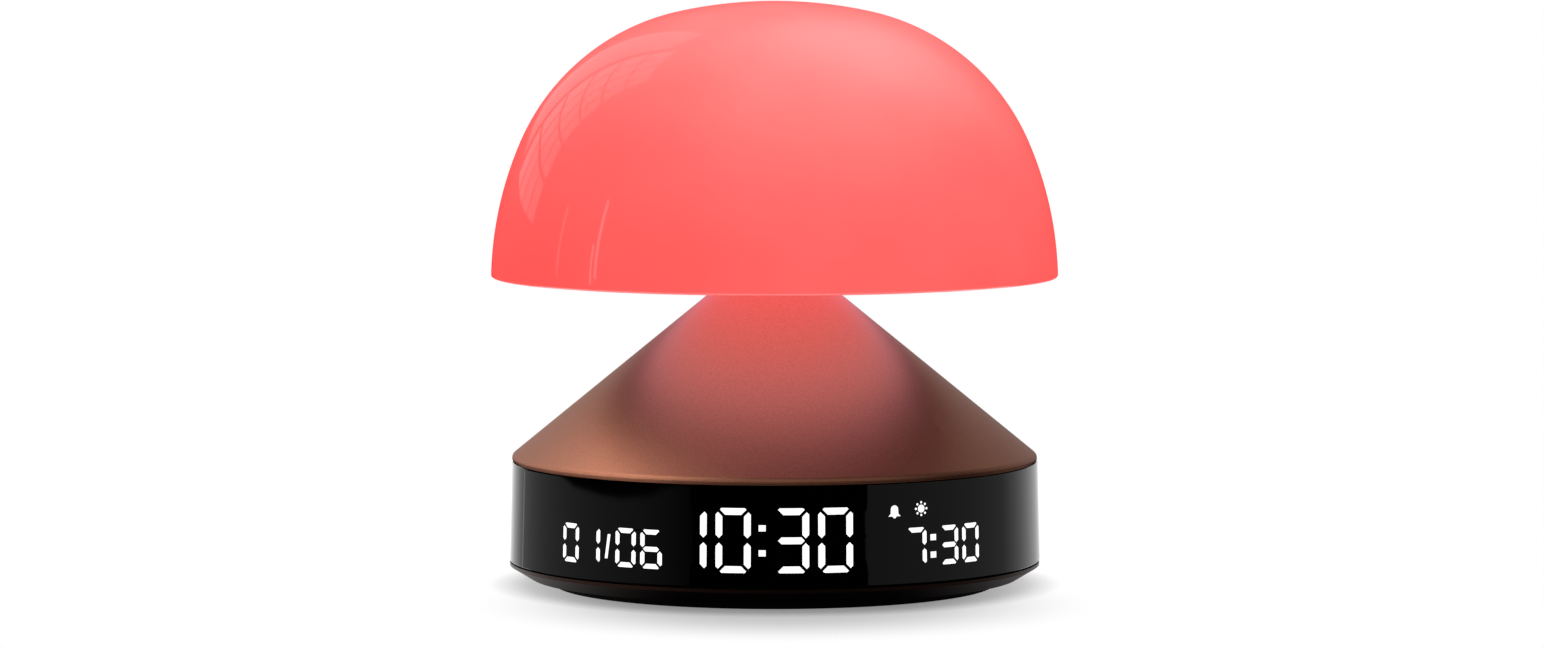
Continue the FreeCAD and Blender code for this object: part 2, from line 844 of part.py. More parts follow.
def make_speaker_paper():
    """Paper cone of the speaker, held at its edge by the flange."""
    low = speaker_flange_top() - speaker_flange
    high = low + speaker_basket_depth / 2
    rim, throat = speaker_paper_radius, speaker_magnet_radius / 2
    under = [(0, high), (throat, high), (rim - speaker_flange, low), (rim, low)]
    over = [(radius, height + paper_thickness) for radius, height in reversed(under)]
    paper = spun(under + over)
    paper.translate(Vec(0, speaker_y, 0))
    return paper


def make_speaker_magnet():
    """Magnet on the back of the basket."""
    low = speaker_flange_top() - speaker_flange + speaker_basket_depth
    return drum(speaker_magnet_radius, low, low + speaker_magnet_height, 0, speaker_y)


def make_main_board():
    """Half-round board behind the speaker, screwed up to the chassis posts."""
    board = drum(board_radius, board_low, board_high)
    reach = board_radius * 2
    cuts = [block((-reach, -reach, board_low), (reach, board_front_y, board_high))]
    for bearing in cover_screw_bearings:
        spot = at(cover_screw_circle, bearing)
        cuts.append(drum(cover_post_radius + board_hole_play, board_low, board_high, spot.x, spot.y))
    cuts += [through(small_shank_radius, board_low, board_high, spot) for spot in board_post_spots()]
    return board.cut(cuts)


def make_board_chips():
    """Chips and capacitors on the main board, one box or can each."""
    chips = []
    for x, y, side in (processor, amplifier, charger, clock_chip):
        half = side / 2
        chips.append(block((x - half, y - half, board_high), (x + half, y + half, board_high + chip_height)))
    for x, y in capacitor_spots:
        chips.append(drum(capacitor_radius, board_high, board_high + capacitor_height, x, y))
    return Part.Compound(chips)


def make_board_sockets():
    """Three wire sockets along the main board's front edge."""
    width, depth, height = socket_size
    sockets = []
    for x in (socket_x_left, 0.0, socket_x_right):
        sockets.append(block((x - width / 2, socket_y - depth / 2, board_high),
                             (x + width / 2, socket_y + depth / 2, board_high + height)))
    return Part.Compound(sockets)


def port_outline(grow, start, length):
    """Rounded slot shape of the charging port, grown all round, along Y."""
    radius = port_height / 2 + grow
    half = port_width / 2 - port_height / 2
    ends = []
    for side in (-1, 1):
        ends.append(Part.makeCylinder(radius, length, Vec(side * half, start, port_middle), BACK))
    body = block((-half, start, port_middle - radius), (half, start + length, port_middle + radius))
    return body.fuse(ends).removeSplitter()


def port_start():
    """Where the charging port's shell begins, inside the clock."""
    return band_bottom_radius - port_recess - port_depth


def make_usb_port():
    """Charging port: a rounded steel shell, closed at its back, with a tongue inside."""
    start = port_start()
    shell = port_outline(0.0, start, port_depth)
    shell = shell.cut(port_outline(-port_shell, start + port_tongue, port_depth))
    half = port_width / 2 - port_height / 2
    tongue = block((-half, start, port_middle - port_tongue / 2),
                   (half, start + port_depth - port_tongue, port_middle + port_tongue / 2))
    return shell.fuse(tongue)


def make_key_board():
    """Upright board behind the rear keys."""
    low = key_board_low()
    board = block((-key_board_half, key_board_y, low),
                  (key_board_half, key_board_y + board_thickness, deck_low - slip))
    radius = small_shank_radius + shank_clearance
    holes = [Part.makeCylinder(radius, board_thickness, key_screw_seat(side), FRONT) for side in (-1, 1)]
    return board.cut(holes)


def key_x(index):
    """Where a key sits along the row."""
    return (index - (len(key_names) - 1) / 2) * key_pitch


def along_y(radius, start, end, x):
    """Cylinder along Y at the keys' height."""
    return Part.makeCylinder(radius, end - start, Vec(x, start, key_height), BACK)


def switch_face():
    """Where the rear faces of the key switches lie."""
    return key_board_y + board_thickness + switch_height


def make_key_switches():
    """Bodies of the five key switches, with the wells that their plungers slide in."""
    bodies = []
    half = switch_side / 2
    for index in range(len(key_names)):
        x = key_x(index)
        body = block((x - half, key_board_y + board_thickness, key_height - half),
                     (x + half, switch_face(), key_height + half))
        depth = plunger_depth + key_travel + slip
        bodies.append(body.cut(along_y(plunger_radius + seat_play, switch_face() - depth, switch_face(), x)))
    return Part.Compound(bodies)


def make_key_plunger(index):
    """Plunger between a key and its switch."""
    return along_y(plunger_radius, switch_face() - plunger_depth, switch_face() + plunger_proud, key_x(index))


def band_shape(grow):
    """The band's outside as a solid, grown outwards."""
    return spun([(0, band_low), (band_bottom_radius + grow, band_low),
                 (band_top_radius + grow, band_high), (0, band_high)])


def make_key(index):
    """Round key: a cap that follows the band's curve, a flange that keeps it in, and a stem."""
    x = key_x(index)
    flange_face = math.sqrt(band_inside ** 2 - (abs(x) + key_flange_radius) ** 2) - slip
    cap = along_y(key_radius, flange_face - key_flange, past_band, x).common(band_shape(key_proud))
    flange = along_y(key_flange_radius, flange_face - key_flange, flange_face, x)
    stem = along_y(key_stem_radius, switch_face() + plunger_proud, flange_face, x)
    return cap.fuse([flange, stem]).removeSplitter()


def bar_outlines(width, height, stroke):
    """Outlines of the seven bars of a figure, by their usual letters, as (across, up) points."""
    side, top = width / 2, height / 2
    tip, chamfer, shoulder, start, waist = [share * stroke for share in bar_shares]
    inner = side - tip - stroke + chamfer
    upper = [(-inner, top - stroke), (-side + tip, top - chamfer), (-side + tip + chamfer, top),
             (side - tip - chamfer, top), (side - tip, top - chamfer), (inner, top - stroke)]
    right = [(side - stroke, top - start - stroke + shoulder), (side - shoulder, top - start),
             (side, top - start - shoulder), (side, waist + stroke / 2),
             (side - stroke / 2, waist), (side - stroke, waist + stroke / 2)]
    half, reach = stroke / 2, side - tip
    middle = [(-reach, 0), (half - reach, half), (reach - half, half),
              (reach, 0), (reach - half, -half), (half - reach, -half)]

    def flipped(outline, across_sign, up_sign):
        return [(across_sign * across, up_sign * up) for across, up in outline]

    return {"a": upper, "b": right, "c": flipped(right, 1, -1), "d": flipped(upper, 1, -1),
            "e": flipped(right, -1, -1), "f": flipped(right, -1, 1), "g": middle}


lit_bars = {"0": "abcdef", "1": "bc", "2": "abdeg", "3": "abcdg", "4": "bcfg",
            "5": "acdfg", "6": "acdefg", "7": "abc", "8": "abcdefg", "9": "abcdfg"}


def square_outline(width, height, middle_across, middle_up):
    """Rectangle round a point, as (across, up) points."""
    left, right = middle_across - width / 2, middle_across + width / 2
    low, high = middle_up - height / 2, middle_up + height / 2
    return [(left, low), (right, low), (right, high), (left, high)]


def dot_outline(middle_up):
    """One square dot of a colon."""
    return square_outline(dot_width, dot_height, 0, middle_up)


def slash_outline():
    """The leaning bar between day and month."""
    half, up, lean = slash_width / 2, slash_height / 2, slash_slant / 2
    return [(-lean - half, -up), (-lean + half, -up), (lean + half, up), (lean - half, up)]


def standing(outline, bearing, height, inner, outer):
    """Prism of a flat outline that stands on the band at a bearing, from one radius out to another."""
    base = at(inner, bearing, height)
    corners = [base + sideways(bearing) * across + UP * up for across, up in outline]
    return Part.Face(Part.makePolygon(corners + corners[:1])).extrude(outward(bearing) * (outer - inner))


def round_prism(radius, bearing, height, inner, outer, across=0.0, up=0.0):
    """Round prism on the band, off the centre of an icon by across and up."""
    base = at(inner, bearing, height) + sideways(bearing) * across + UP * up
    return Part.makeCylinder(radius, outer - inner, base, outward(bearing))


def figure_places(text, bearing, inner, pitch):
    """Each figure of a four or three figure group with its bearing, right-aligned to the group."""
    bearings = (bearing - inner - pitch, bearing - inner, bearing + inner, bearing + inner + pitch)
    return list(zip(text, bearings[4 - len(text):]))


time_figures = figure_places(time_text, time_bearing, time_inner, time_pitch)
date_figures = figure_places(date_text, date_bearing, date_inner, date_pitch)
alarm_figures = figure_places(alarm_text, alarm_bearing, alarm_inner, alarm_pitch)


def figure_prisms(figures, rise, size, inner, outer, all_bars):
    """Prisms of a group's bars, either the lit ones or all seven of each figure."""
    outlines = bar_outlines(size["width"], size["height"], size["stroke"])
    prisms = []
    for figure, bearing in figures:
        for bar in outlines if all_bars else lit_bars[figure]:
            prisms.append(standing(outlines[bar], bearing, band_low + rise, inner, outer))
    return prisms


def colon_prisms(bearing, rise, gap, inner, outer):
    """Two dots between hours and minutes."""
    return [standing(dot_outline(side * gap / 2), bearing, band_low + rise, inner, outer) for side in (-1, 1)]


def time_prisms(inner, outer, all_bars=False):
    """The large time group."""
    return (figure_prisms(time_figures, time_rise, figure_large, inner, outer, all_bars)
            + colon_prisms(time_bearing, time_rise, dot_gap_large, inner, outer))


def date_prisms(inner, outer, all_bars=False):
    """The date group, with its slash."""
    slash = standing(slash_outline(), date_bearing, band_low + date_rise, inner, outer)
    return figure_prisms(date_figures, date_rise, figure_small, inner, outer, all_bars) + [slash]


def alarm_prisms(inner, outer, all_bars=False):
    """The alarm time group."""
    return (figure_prisms(alarm_figures, alarm_rise, figure_small, inner, outer, all_bars)
            + colon_prisms(alarm_bearing, alarm_rise, dot_gap_small, inner, outer))


def bell_prism(inner, outer):
    """Bell icon: a domed body with a flared lip and a clapper."""
    mouth, waist = bell_width / 2, bell_waist_width / 2
    half = [(bell_dome_radius, bell_dome_up), (waist, bell_waist_up), (mouth, bell_mouth_up)]
    outline = half + [(-across, up) for across, up in reversed(half)]
    height = band_low + bell_rise
    bell = standing(outline, bell_bearing, height, inner, outer)
    dome = round_prism(bell_dome_radius, bell_bearing, height, inner, outer, up=bell_dome_up)
    clapper = round_prism(clapper_radius, bell_bearing, height, inner, outer, up=bell_mouth_up)
    return bell.fuse([dome, clapper])


def icon_prisms(inner, outer):
    """The bell and the sun, a disc with dots for rays."""
    height = band_low + sun_rise
    prisms = [bell_prism(inner, outer), round_prism(sun_disc_radius, sun_bearing, height, inner, outer)]
    for ray in range(sun_ray_count):
        turn = 2 * math.pi * ray / sun_ray_count
        prisms.append(round_prism(sun_ray_radius, sun_bearing, height, inner, outer,
                                  sun_ray_circle * math.cos(turn), sun_ray_circle * math.sin(turn)))
    return prisms


def inlaid(prisms):
    """The parts of the prisms that lie in the band's outer skin."""
    skin = band_shape(0.0).cut(band_shape(-inlay_depth))
    return [solid for prism in prisms for solid in prism.common(skin).Solids]


prism_inner = band_inside - seat_play
date_inlays = inlaid(date_prisms(prism_inner, past_band))
time_inlays = inlaid(time_prisms(prism_inner, past_band))
alarm_inlays = inlaid(alarm_prisms(prism_inner, past_band))
icon_inlays = inlaid(icon_prisms(prism_inner, past_band))


def make_display_band():
    """Gloss black band with pockets for the lit figures, holes for the keys and the port's slot."""
    band = band_shape(0.0).cut(drum(band_inside, band_low, band_high))
    band = round_edges(band, band_edge_round, lambda radius, height: radius > band_inside + seat_overhang)
    cuts = []
    for index in range(len(key_names)):
        cuts.append(along_y(key_radius + slip, switch_face(), past_band, key_x(index)))
    cuts.append(port_outline(port_opening_play, port_start(), port_depth * 2))
    return band.cut(cuts + date_inlays + time_inlays + alarm_inlays + icon_inlays)


def make_display_frame():
    """White block of light wells behind the band, one well for every bar."""
    frame = strip(frame_outside, frame_inside, band_low + flex_rise, deck_low, frame_start, frame_end)
    inner, outer = frame_inside - slip, frame_outside + slip
    wells = date_prisms(inner, outer, True) + time_prisms(inner, outer, True)
    wells += alarm_prisms(inner, outer, True) + icon_prisms(inner, outer)
    pilots = [small_pilot(display_screw_spot(bearing), DOWN) for bearing in display_screw_bearings]
    return frame.cut(wells + pilots)


def make_display_film():
    """Diffusing film between the light wells and the band."""
    inner = frame_outside + running_play
    return strip(inner + film_thickness, inner, band_low + flex_rise, deck_low, frame_start, frame_end)


def make_display_flex():
    """Flexible circuit behind the wells, with a tail that runs back to the main board."""
    low = band_low + flex_rise
    flex = strip(frame_inside, flex_inside, low, deck_low - slip, frame_start, frame_end)
    tail = strip(frame_inside, flex_inside, board_high, board_high + flex_tail_height,
                 frame_end - flex_tail_overlap, flex_tail_end)
    return flex.fuse(tail)


def make_display_lamps():
    """One small lamp behind every bar, dot and icon."""
    lamps = []

    def lamp(bearing, height, across, up):
        square = square_outline(lamp_side, lamp_side, across, up)
        lamps.append(standing(square, bearing, height, frame_inside, frame_inside + lamp_height))

    groups = ((time_figures, time_rise, figure_large), (date_figures, date_rise, figure_small),
              (alarm_figures, alarm_rise, figure_small))
    for figures, rise, size in groups:
        outlines = bar_outlines(size["width"], size["height"], size["stroke"])
        for _, bearing in figures:
            for outline in outlines.values():
                across = (min(x for x, _ in outline) + max(x for x, _ in outline)) / 2
                up = (min(y for _, y in outline) + max(y for _, y in outline)) / 2
                lamp(bearing, band_low + rise, across, up)
    for side in (-1, 1):
        lamp(time_bearing, band_low + time_rise, 0, side * dot_gap_large / 2)
        lamp(alarm_bearing, band_low + alarm_rise, 0, side * dot_gap_small / 2)
    lamp(bell_bearing, band_low + bell_rise, 0, 0)
    lamp(sun_bearing, band_low + sun_rise, 0, 0)
    return Part.Compound(lamps)


def battery_low():
    """Height of the battery's lower face."""
    return deck_low - tape_thickness - battery_size[2]


def make_battery():
    """Flat rechargeable cell taped under the deck."""
    width, depth, height = battery_size
    low = battery_low()
    cell = block((-width / 2, battery_front_y, low), (width / 2, battery_front_y + depth, low + height))
    return cell.makeFillet(battery_round, [e for e in cell.Edges if near(e.BoundBox.XLength, width)])


def make_battery_tape():
    """Double-sided tape between the cell and the deck."""
    width, depth, _ = battery_size
    across = width / 2 - tape_margin
    return block((-across, battery_front_y + tape_margin, deck_low - tape_thickness),
                 (across, battery_front_y + depth - tape_margin, deck_low))


def wire(radius, points):
    """Round wire along straight runs joined by tangent arcs as large as the runs allow."""
    edges = []
    here = points[0]
    for before, corner, after in zip(points, points[1:], points[2:]):
        back, ahead = before - corner, after - corner
        half_turn = (math.pi - back.getAngle(ahead)) / 2
        cut_back = bend_share * min(back.Length, ahead.Length)
        start = corner + back.normalize() * cut_back
        end = corner + ahead.normalize() * cut_back
        inward = (back + ahead).normalize()
        middle = corner + inward * arc_depth(cut_back, half_turn)
        edges.append(Part.makeLine(here, start))
        edges.append(Part.Arc(start, middle, end).toShape())
        here = end
    edges.append(Part.makeLine(here, points[-1]))
    path = Part.Wire(edges)
    section = Part.Wire(Part.makeCircle(radius, points[0], points[1] - points[0]))
    return path.makePipeShell([section], True, False)


def arc_depth(cut_back, half_turn):
    """How far inside its corner a tangent arc passes."""
    radius = cut_back / math.tan(half_turn)
    return radius / math.cos(half_turn) - radius


def make_lamp_cable():
    """Cable from the main board's middle socket up through deck, tower and stem to the lamp board."""
    socket_top = board_high + socket_size[2]
    bend = deck_low - tower_boss_height
    return wire(lamp_cable_radius, [Vec(0, 0, lamp_board_high), Vec(0, 0, bend),
                                    Vec(0, socket_y, (bend + socket_top) / 2), Vec(0, socket_y, socket_top)])


def make_battery_leads():
    """Twin lead from the cell to its socket."""
    socket_top = board_high + socket_size[2]
    level = battery_low() + battery_size[2] / 2
    x = socket_x_right
    return wire(lead_radius, [Vec(x, battery_front_y, level), Vec(x, socket_y, level),
                              Vec(x, socket_y, socket_top)])


def make_speaker_leads():
    """Twin lead from the speaker's flange over to its socket."""
    socket_top = board_high + socket_size[2]
    x, y = socket_x_left, speaker_y + speaker_magnet_radius + lead_gap
    level = socket_top + lead_loop
    return wire(lead_radius, [Vec(x, y, speaker_flange_top()), Vec(x, y, level), Vec(x, socket_y, level),
                              Vec(x, socket_y, socket_top)])


pieces = {
    "shade_dome": make_shade_dome(),
    "shade_floor": make_shade_floor(),
    "shade_hub": make_shade_hub(),
    "head_screws": make_head_screws(),
    "lamp_board": make_lamp_board(),
    "lamps": make_lamps(),
    "stem_collar": make_stem_collar(),
    "collar_screws": make_collar_screws(),
    "press_plunger": make_press_plunger(),
    "cone_body": make_cone_body(),
    "guide_bush": make_guide_bush(),
    "return_spring": make_return_spring(),
    "switch_tower": make_switch_tower(),
    "press_board": make_press_board(),
    "press_switch": make_press_switch(),
    "display_band": make_display_band(),
    "date_figures": Part.Compound(date_inlays),
    "time_figures": Part.Compound(time_inlays),
    "alarm_figures": Part.Compound(alarm_inlays),
    "display_icons": Part.Compound(icon_inlays),
    "display_film": make_display_film(),
    "display_frame": make_display_frame(),
    "display_flex": make_display_flex(),
    "display_lamps": make_display_lamps(),
    "chassis": make_chassis(),
    "bottom_cover": make_bottom_cover(),
    "foot_ring": make_foot_ring(),
    "cover_screws": make_cover_screws(),
    "cone_screws": make_cone_screws(),
    "small_screws": make_small_screws(),
    "speaker_gasket": make_speaker_gasket(),
    "speaker_basket": make_speaker_basket(),
    "speaker_paper": make_speaker_paper(),
    "speaker_magnet": make_speaker_magnet(),
    "main_board": make_main_board(),
    "board_chips": make_board_chips(),
    "board_sockets": make_board_sockets(),
    "usb_port": make_usb_port(),
    "key_board": make_key_board(),
    "key_switches": make_key_switches(),
    "battery": make_battery(),
    "battery_tape": make_battery_tape(),
    "lamp_cable": make_lamp_cable(),
    "battery_leads": make_battery_leads(),
    "speaker_leads": make_speaker_leads(),
}
for index, name in enumerate(key_names):
    pieces[name + "_key"] = make_key(index)
    pieces[name + "_key_plunger"] = make_key_plunger(index)

os.makedirs("parts", exist_ok=True)
for name, shape in pieces.items():
    shape.exportStep(os.path.join("parts", name + ".step"))
    print(name, "solids", len(shape.Solids), "volume", round(shape.Volume, 1), "valid", shape.isValid())
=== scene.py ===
# Sunrise alarm clock: a lit coral shade on a satin bronze cone, above a gloss black display band.
# Metres in the frame's own axes. Sizes written with _mm are millimetres.
import math

import bmesh
import bpy
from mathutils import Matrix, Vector


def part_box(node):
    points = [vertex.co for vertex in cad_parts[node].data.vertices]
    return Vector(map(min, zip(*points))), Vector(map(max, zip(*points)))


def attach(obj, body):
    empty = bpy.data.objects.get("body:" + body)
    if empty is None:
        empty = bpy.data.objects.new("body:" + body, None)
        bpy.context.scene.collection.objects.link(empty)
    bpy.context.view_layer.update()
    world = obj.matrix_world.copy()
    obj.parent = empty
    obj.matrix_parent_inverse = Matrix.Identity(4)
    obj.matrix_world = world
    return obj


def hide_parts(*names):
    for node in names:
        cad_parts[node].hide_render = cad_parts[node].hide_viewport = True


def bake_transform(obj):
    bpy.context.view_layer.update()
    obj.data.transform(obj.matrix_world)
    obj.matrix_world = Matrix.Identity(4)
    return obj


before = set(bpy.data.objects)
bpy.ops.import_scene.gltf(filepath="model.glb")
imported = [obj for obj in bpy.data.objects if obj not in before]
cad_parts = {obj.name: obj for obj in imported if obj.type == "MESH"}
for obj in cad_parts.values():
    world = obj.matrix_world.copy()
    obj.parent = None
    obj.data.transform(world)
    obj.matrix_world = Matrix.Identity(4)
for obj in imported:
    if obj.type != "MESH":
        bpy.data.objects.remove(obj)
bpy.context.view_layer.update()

scene = bpy.context.scene

MM = 0.001

# Shade: a flat crown, a rounder shoulder and a nearly upright skirt, then its wall, rim and inner ledge.
# The skirt's lean at the rim is in degrees.
crown_radius_mm = 106.0
shoulder_radius_mm = 53.0
skirt_radius_mm = 84.4
rim_lean = 1.25
shade_wall_mm = 2.2
rim_round_mm = 0.6
floor_wall_mm = 2.0
ledge_width_mm = 2.0
ledge_height_mm = 2.0
ledge_clear_mm = 0.2
ledge_root_mm = 0.05

# How finely pieces are divided, and how close points are welded
steps_round = 256
arc_step = math.radians(1.2)
corner_steps = 8
sharp_angle = math.radians(28.0)
weld_distance = 1e-6

# Rear keys: radius, rounded edge and dish of a cap, and how finely it is divided
key_cap_mm = 3.3
key_edge_mm = 0.35
key_dish_mm = 0.18
key_steps = 64
face_rings = 8
edge_rings = 6

# How the flange, the stem and the rim of a CAD key are told apart
flange_share = 0.98
rim_share = 0.9
past_flange_mm = 0.2
past_axis_mm = 0.5
past_cap_mm = 1.0

# Marks on the keys: the ink's top and foot, counted from the face, and the sizes of the signs
ink_top_mm = 0.03
ink_foot_mm = -0.02
sign_steps = 24
sun_mm = 0.7
ray_count = 8
ray_start_mm = 1.05
ray_end_mm = 1.6
ray_half_mm = 0.13
arrow_mm = 1.25
dot_mm = 0.85
clapper_wide_mm = 0.35
clapper_deep_mm = 0.3
clapper_top_mm = -0.95
clapper_steps = 8

# Mottling of a surface: how many finer layers its noise has, and at which of its values it is darkest
# and lightest
mottle_detail = 4.0
mottle_dark_at = 0.3
mottle_light_at = 0.7

# Table: its size, and the shadow painted into its glow: close to the foot, and wide and soft in front
table_size = 16.0
contact_samples = 12
contact_reach_mm = 7.5
shadow_x_mm = 2.0
shadow_y_mm = -42.0
shadow_core_mm = 24.0
shadow_edge_mm = 74.0

# The way in which a table gets brighter, and between which distances along it
brighter_way = (-0.6, 1.0, 0.0)
brighter_start = -0.15
brighter_end = 0.08

# Studio: the point that its sheets stand round, how far they stand, and how they are divided and fade
studio_middle = Vector((0.0, 0.0, 0.1))
room_distance = 1.6
window_distance = 2.4
wall_distance = 3.0
patch_columns = 24
patch_lines = 12
fade_end = 0.501
air_strength = 0.12

# Window: its plain pane and its wide one, by azimuth and elevation in degrees
side_pane_azimuths = (-164.0, -148.5)
side_pane_elevations = (7.0, 50.0)
side_pane_level = 1.0
glazing_low = Vector((-146.0, 7.0))
glazing_high = Vector((-118.0, 54.0))
glazing_level = 1.6
glazing_columns = 4
glazing_lines = 6
glazing_share = 0.9

# Upright side of the table at the left, as the band mirrors it: its top rises towards the back
table_side_x = -0.385
table_side_front = -0.55
table_side_back = 0.4
table_side_foot = -0.3
table_side_front_top = 0.0006
table_side_back_top = 0.0075

# Pink disc under the shade: its strength, and its tones from the middle out
under_glow_mm = 60.0
under_gap_mm = 1.2
under_steps = 48
under_level = 2.4
under_tones = ((0.22, "#F48CA8"), (0.45, "#D48FA8"), (0.6, "#C096B0"), (0.72, "#B498B8"),
               (0.83, "#766880"), (0.92, "#302B34"), (1.0, "#241F24"))

# Camera, as the photograph's perspective and framing give it
camera_place = (-0.0006, -1.5, 0.17406)
camera_tilt = math.radians(85.714)
lens_mm = 148.26
sensor_mm = 36.0


# Colours and nodes

def linear(hex_colour):
    """Linear RGBA of an sRGB hex colour."""
    channels = [int(hex_colour[start:start + 2], 16) / 255 for start in (1, 3, 5)]
    return tuple(c / 12.92 if c <= 0.04045 else ((c + 0.055) / 1.055) ** 2.4 for c in channels) + (1.0,)


def add(tree, kind, settings=None, *in_order, **by_name):
    """Adds a node with its settings. Its sockets, in order or by name, each get a value or a link."""
    node = tree.nodes.new(kind)
    for name, value in (settings or {}).items():
        setattr(node, name, value)
    sockets = list(zip(node.inputs, in_order))
    sockets += [(node.inputs[name.replace("_", " ")], value) for name, value in by_name.items()]
    for socket, value in sockets:
        if isinstance(value, bpy.types.NodeSocket):
            tree.links.new(value, socket)
        else:
            socket.default_value = value
    return node


def per_mm(size_mm):
    """Scale of a pattern whose features are this many millimetres apart."""
    return 1.0 / (size_mm * MM)


def surface(name, hex_colour, **sockets):
    """New material with one Principled shader. Gives the material, its tree and the shader."""
    material = bpy.data.materials.new(name)
    material.use_nodes = True
    tree = material.node_tree
    shader = tree.nodes["Principled BSDF"]
    shader.inputs["Base Color"].default_value = linear(hex_colour)
    for socket, value in sockets.items():
        shader.inputs[socket.replace("_", " ")].default_value = value
    return material, tree, shader


def mottle(tree, shader, size_mm, dark, light, rough, bump_mm=0.0):
    """Lets colour, roughness and height wander over features of one size."""
    place = add(tree, "ShaderNodeTexCoord").outputs["Object"]
    noise = add(tree, "ShaderNodeTexNoise", Vector=place, Scale=per_mm(size_mm), Detail=mottle_detail)
    noise = noise.outputs["Fac"]
    tone = add(tree, "ShaderNodeValToRGB", Fac=noise)
    dark_end, light_end = tone.color_ramp.elements
    dark_end.color, light_end.color = linear(dark), linear(light)
    dark_end.position, light_end.position = mottle_dark_at, mottle_light_at
    tree.links.new(tone.outputs["Color"], shader.inputs["Base Color"])
    polish = add(tree, "ShaderNodeMapRange", Value=noise, To_Min=rough[0], To_Max=rough[1])
    tree.links.new(polish.outputs["Result"], shader.inputs["Roughness"])
    if bump_mm:
        bump = add(tree, "ShaderNodeBump", Height=noise, Distance=bump_mm * MM, Strength=1.0)
        tree.links.new(bump.outputs["Normal"], shader.inputs["Normal"])


# Materials

def coral_polycarbonate():
    """Injection-moulded polycarbonate, polished: lit through, with a clear gloss on top."""
    material, tree, shader = surface(
        "coral_polycarbonate", "#B05A58", Emission_Color=linear("#FF2D2B"), Emission_Strength=1.0,
        Coat_Weight=0.3, Coat_Roughness=0.03, Coat_IOR=1.5, IOR=1.585)
    mottle(tree, shader, size_mm=26.0, dark="#AA5654", light="#B45E5C", rough=(0.62, 0.68))
    return material


def frosted_polycarbonate():
    """Frosted diffuser, etched in the mould: an even dull glow."""
    material, tree, shader = surface(
        "frosted_polycarbonate", "#E06A62", Emission_Color=linear("#E8403C"), Emission_Strength=0.06)
    mottle(tree, shader, size_mm=1.2, dark="#D8645C", light="#E8746C", rough=(0.55, 0.7), bump_mm=0.01)
    return material


def bronze_anodised_aluminium():
    """Spun aluminium, fine blasted and anodised bronze: a satin metal with a powdery grain."""
    material, tree, shader = surface("bronze_anodised_aluminium", "#B3765C", Metallic=1.0)
    # The blast grain is drawn at 0.5 mm, coarser than real, so that it shows.
    mottle(tree, shader, size_mm=0.5, dark="#AC7056", light="#BA7C62", rough=(0.40, 0.48), bump_mm=0.003)
    return material


def dark_bronze_anodised():
    """The cover's darker anodised bronze, blasted like the cone: near black, with a tighter sheen."""
    material, tree, shader = surface("dark_bronze_anodised", "#36241E", Metallic=1.0)
    # Its grain is drawn at 0.5 mm too.
    mottle(tree, shader, size_mm=0.5, dark="#301F1A", light="#3C2923", rough=(0.34, 0.42), bump_mm=0.003)
    return material


def gloss_black_acrylic():
    """Polished black acrylic skin: near black, with mirror-clear reflections."""
    material, tree, shader = surface("gloss_black_acrylic", "#040405", IOR=1.49)
    mottle(tree, shader, size_mm=40.0, dark="#030304", light="#050506", rough=(0.03, 0.05))
    return material


def lit_figure_film():
    """Printed diffusing film with lamps behind it: plain bright white."""
    material, tree, shader = surface(
        "lit_figure_film", "#FFFFFF", Emission_Color=linear("#FFFFFF"), Emission_Strength=1.1)
    mottle(tree, shader, size_mm=3.0, dark="#F4F6FA", light="#FFFFFF", rough=(0.3, 0.4))
    return material


def plain(name, dark, light, rough, grain_mm, bump_mm=0.0, metallic=0.0):
    """Material with one grain over its colour, roughness and height."""
    material, tree, shader = surface(name, light, Metallic=metallic)
    mottle(tree, shader, grain_mm, dark, light, rough, bump_mm)
    return material


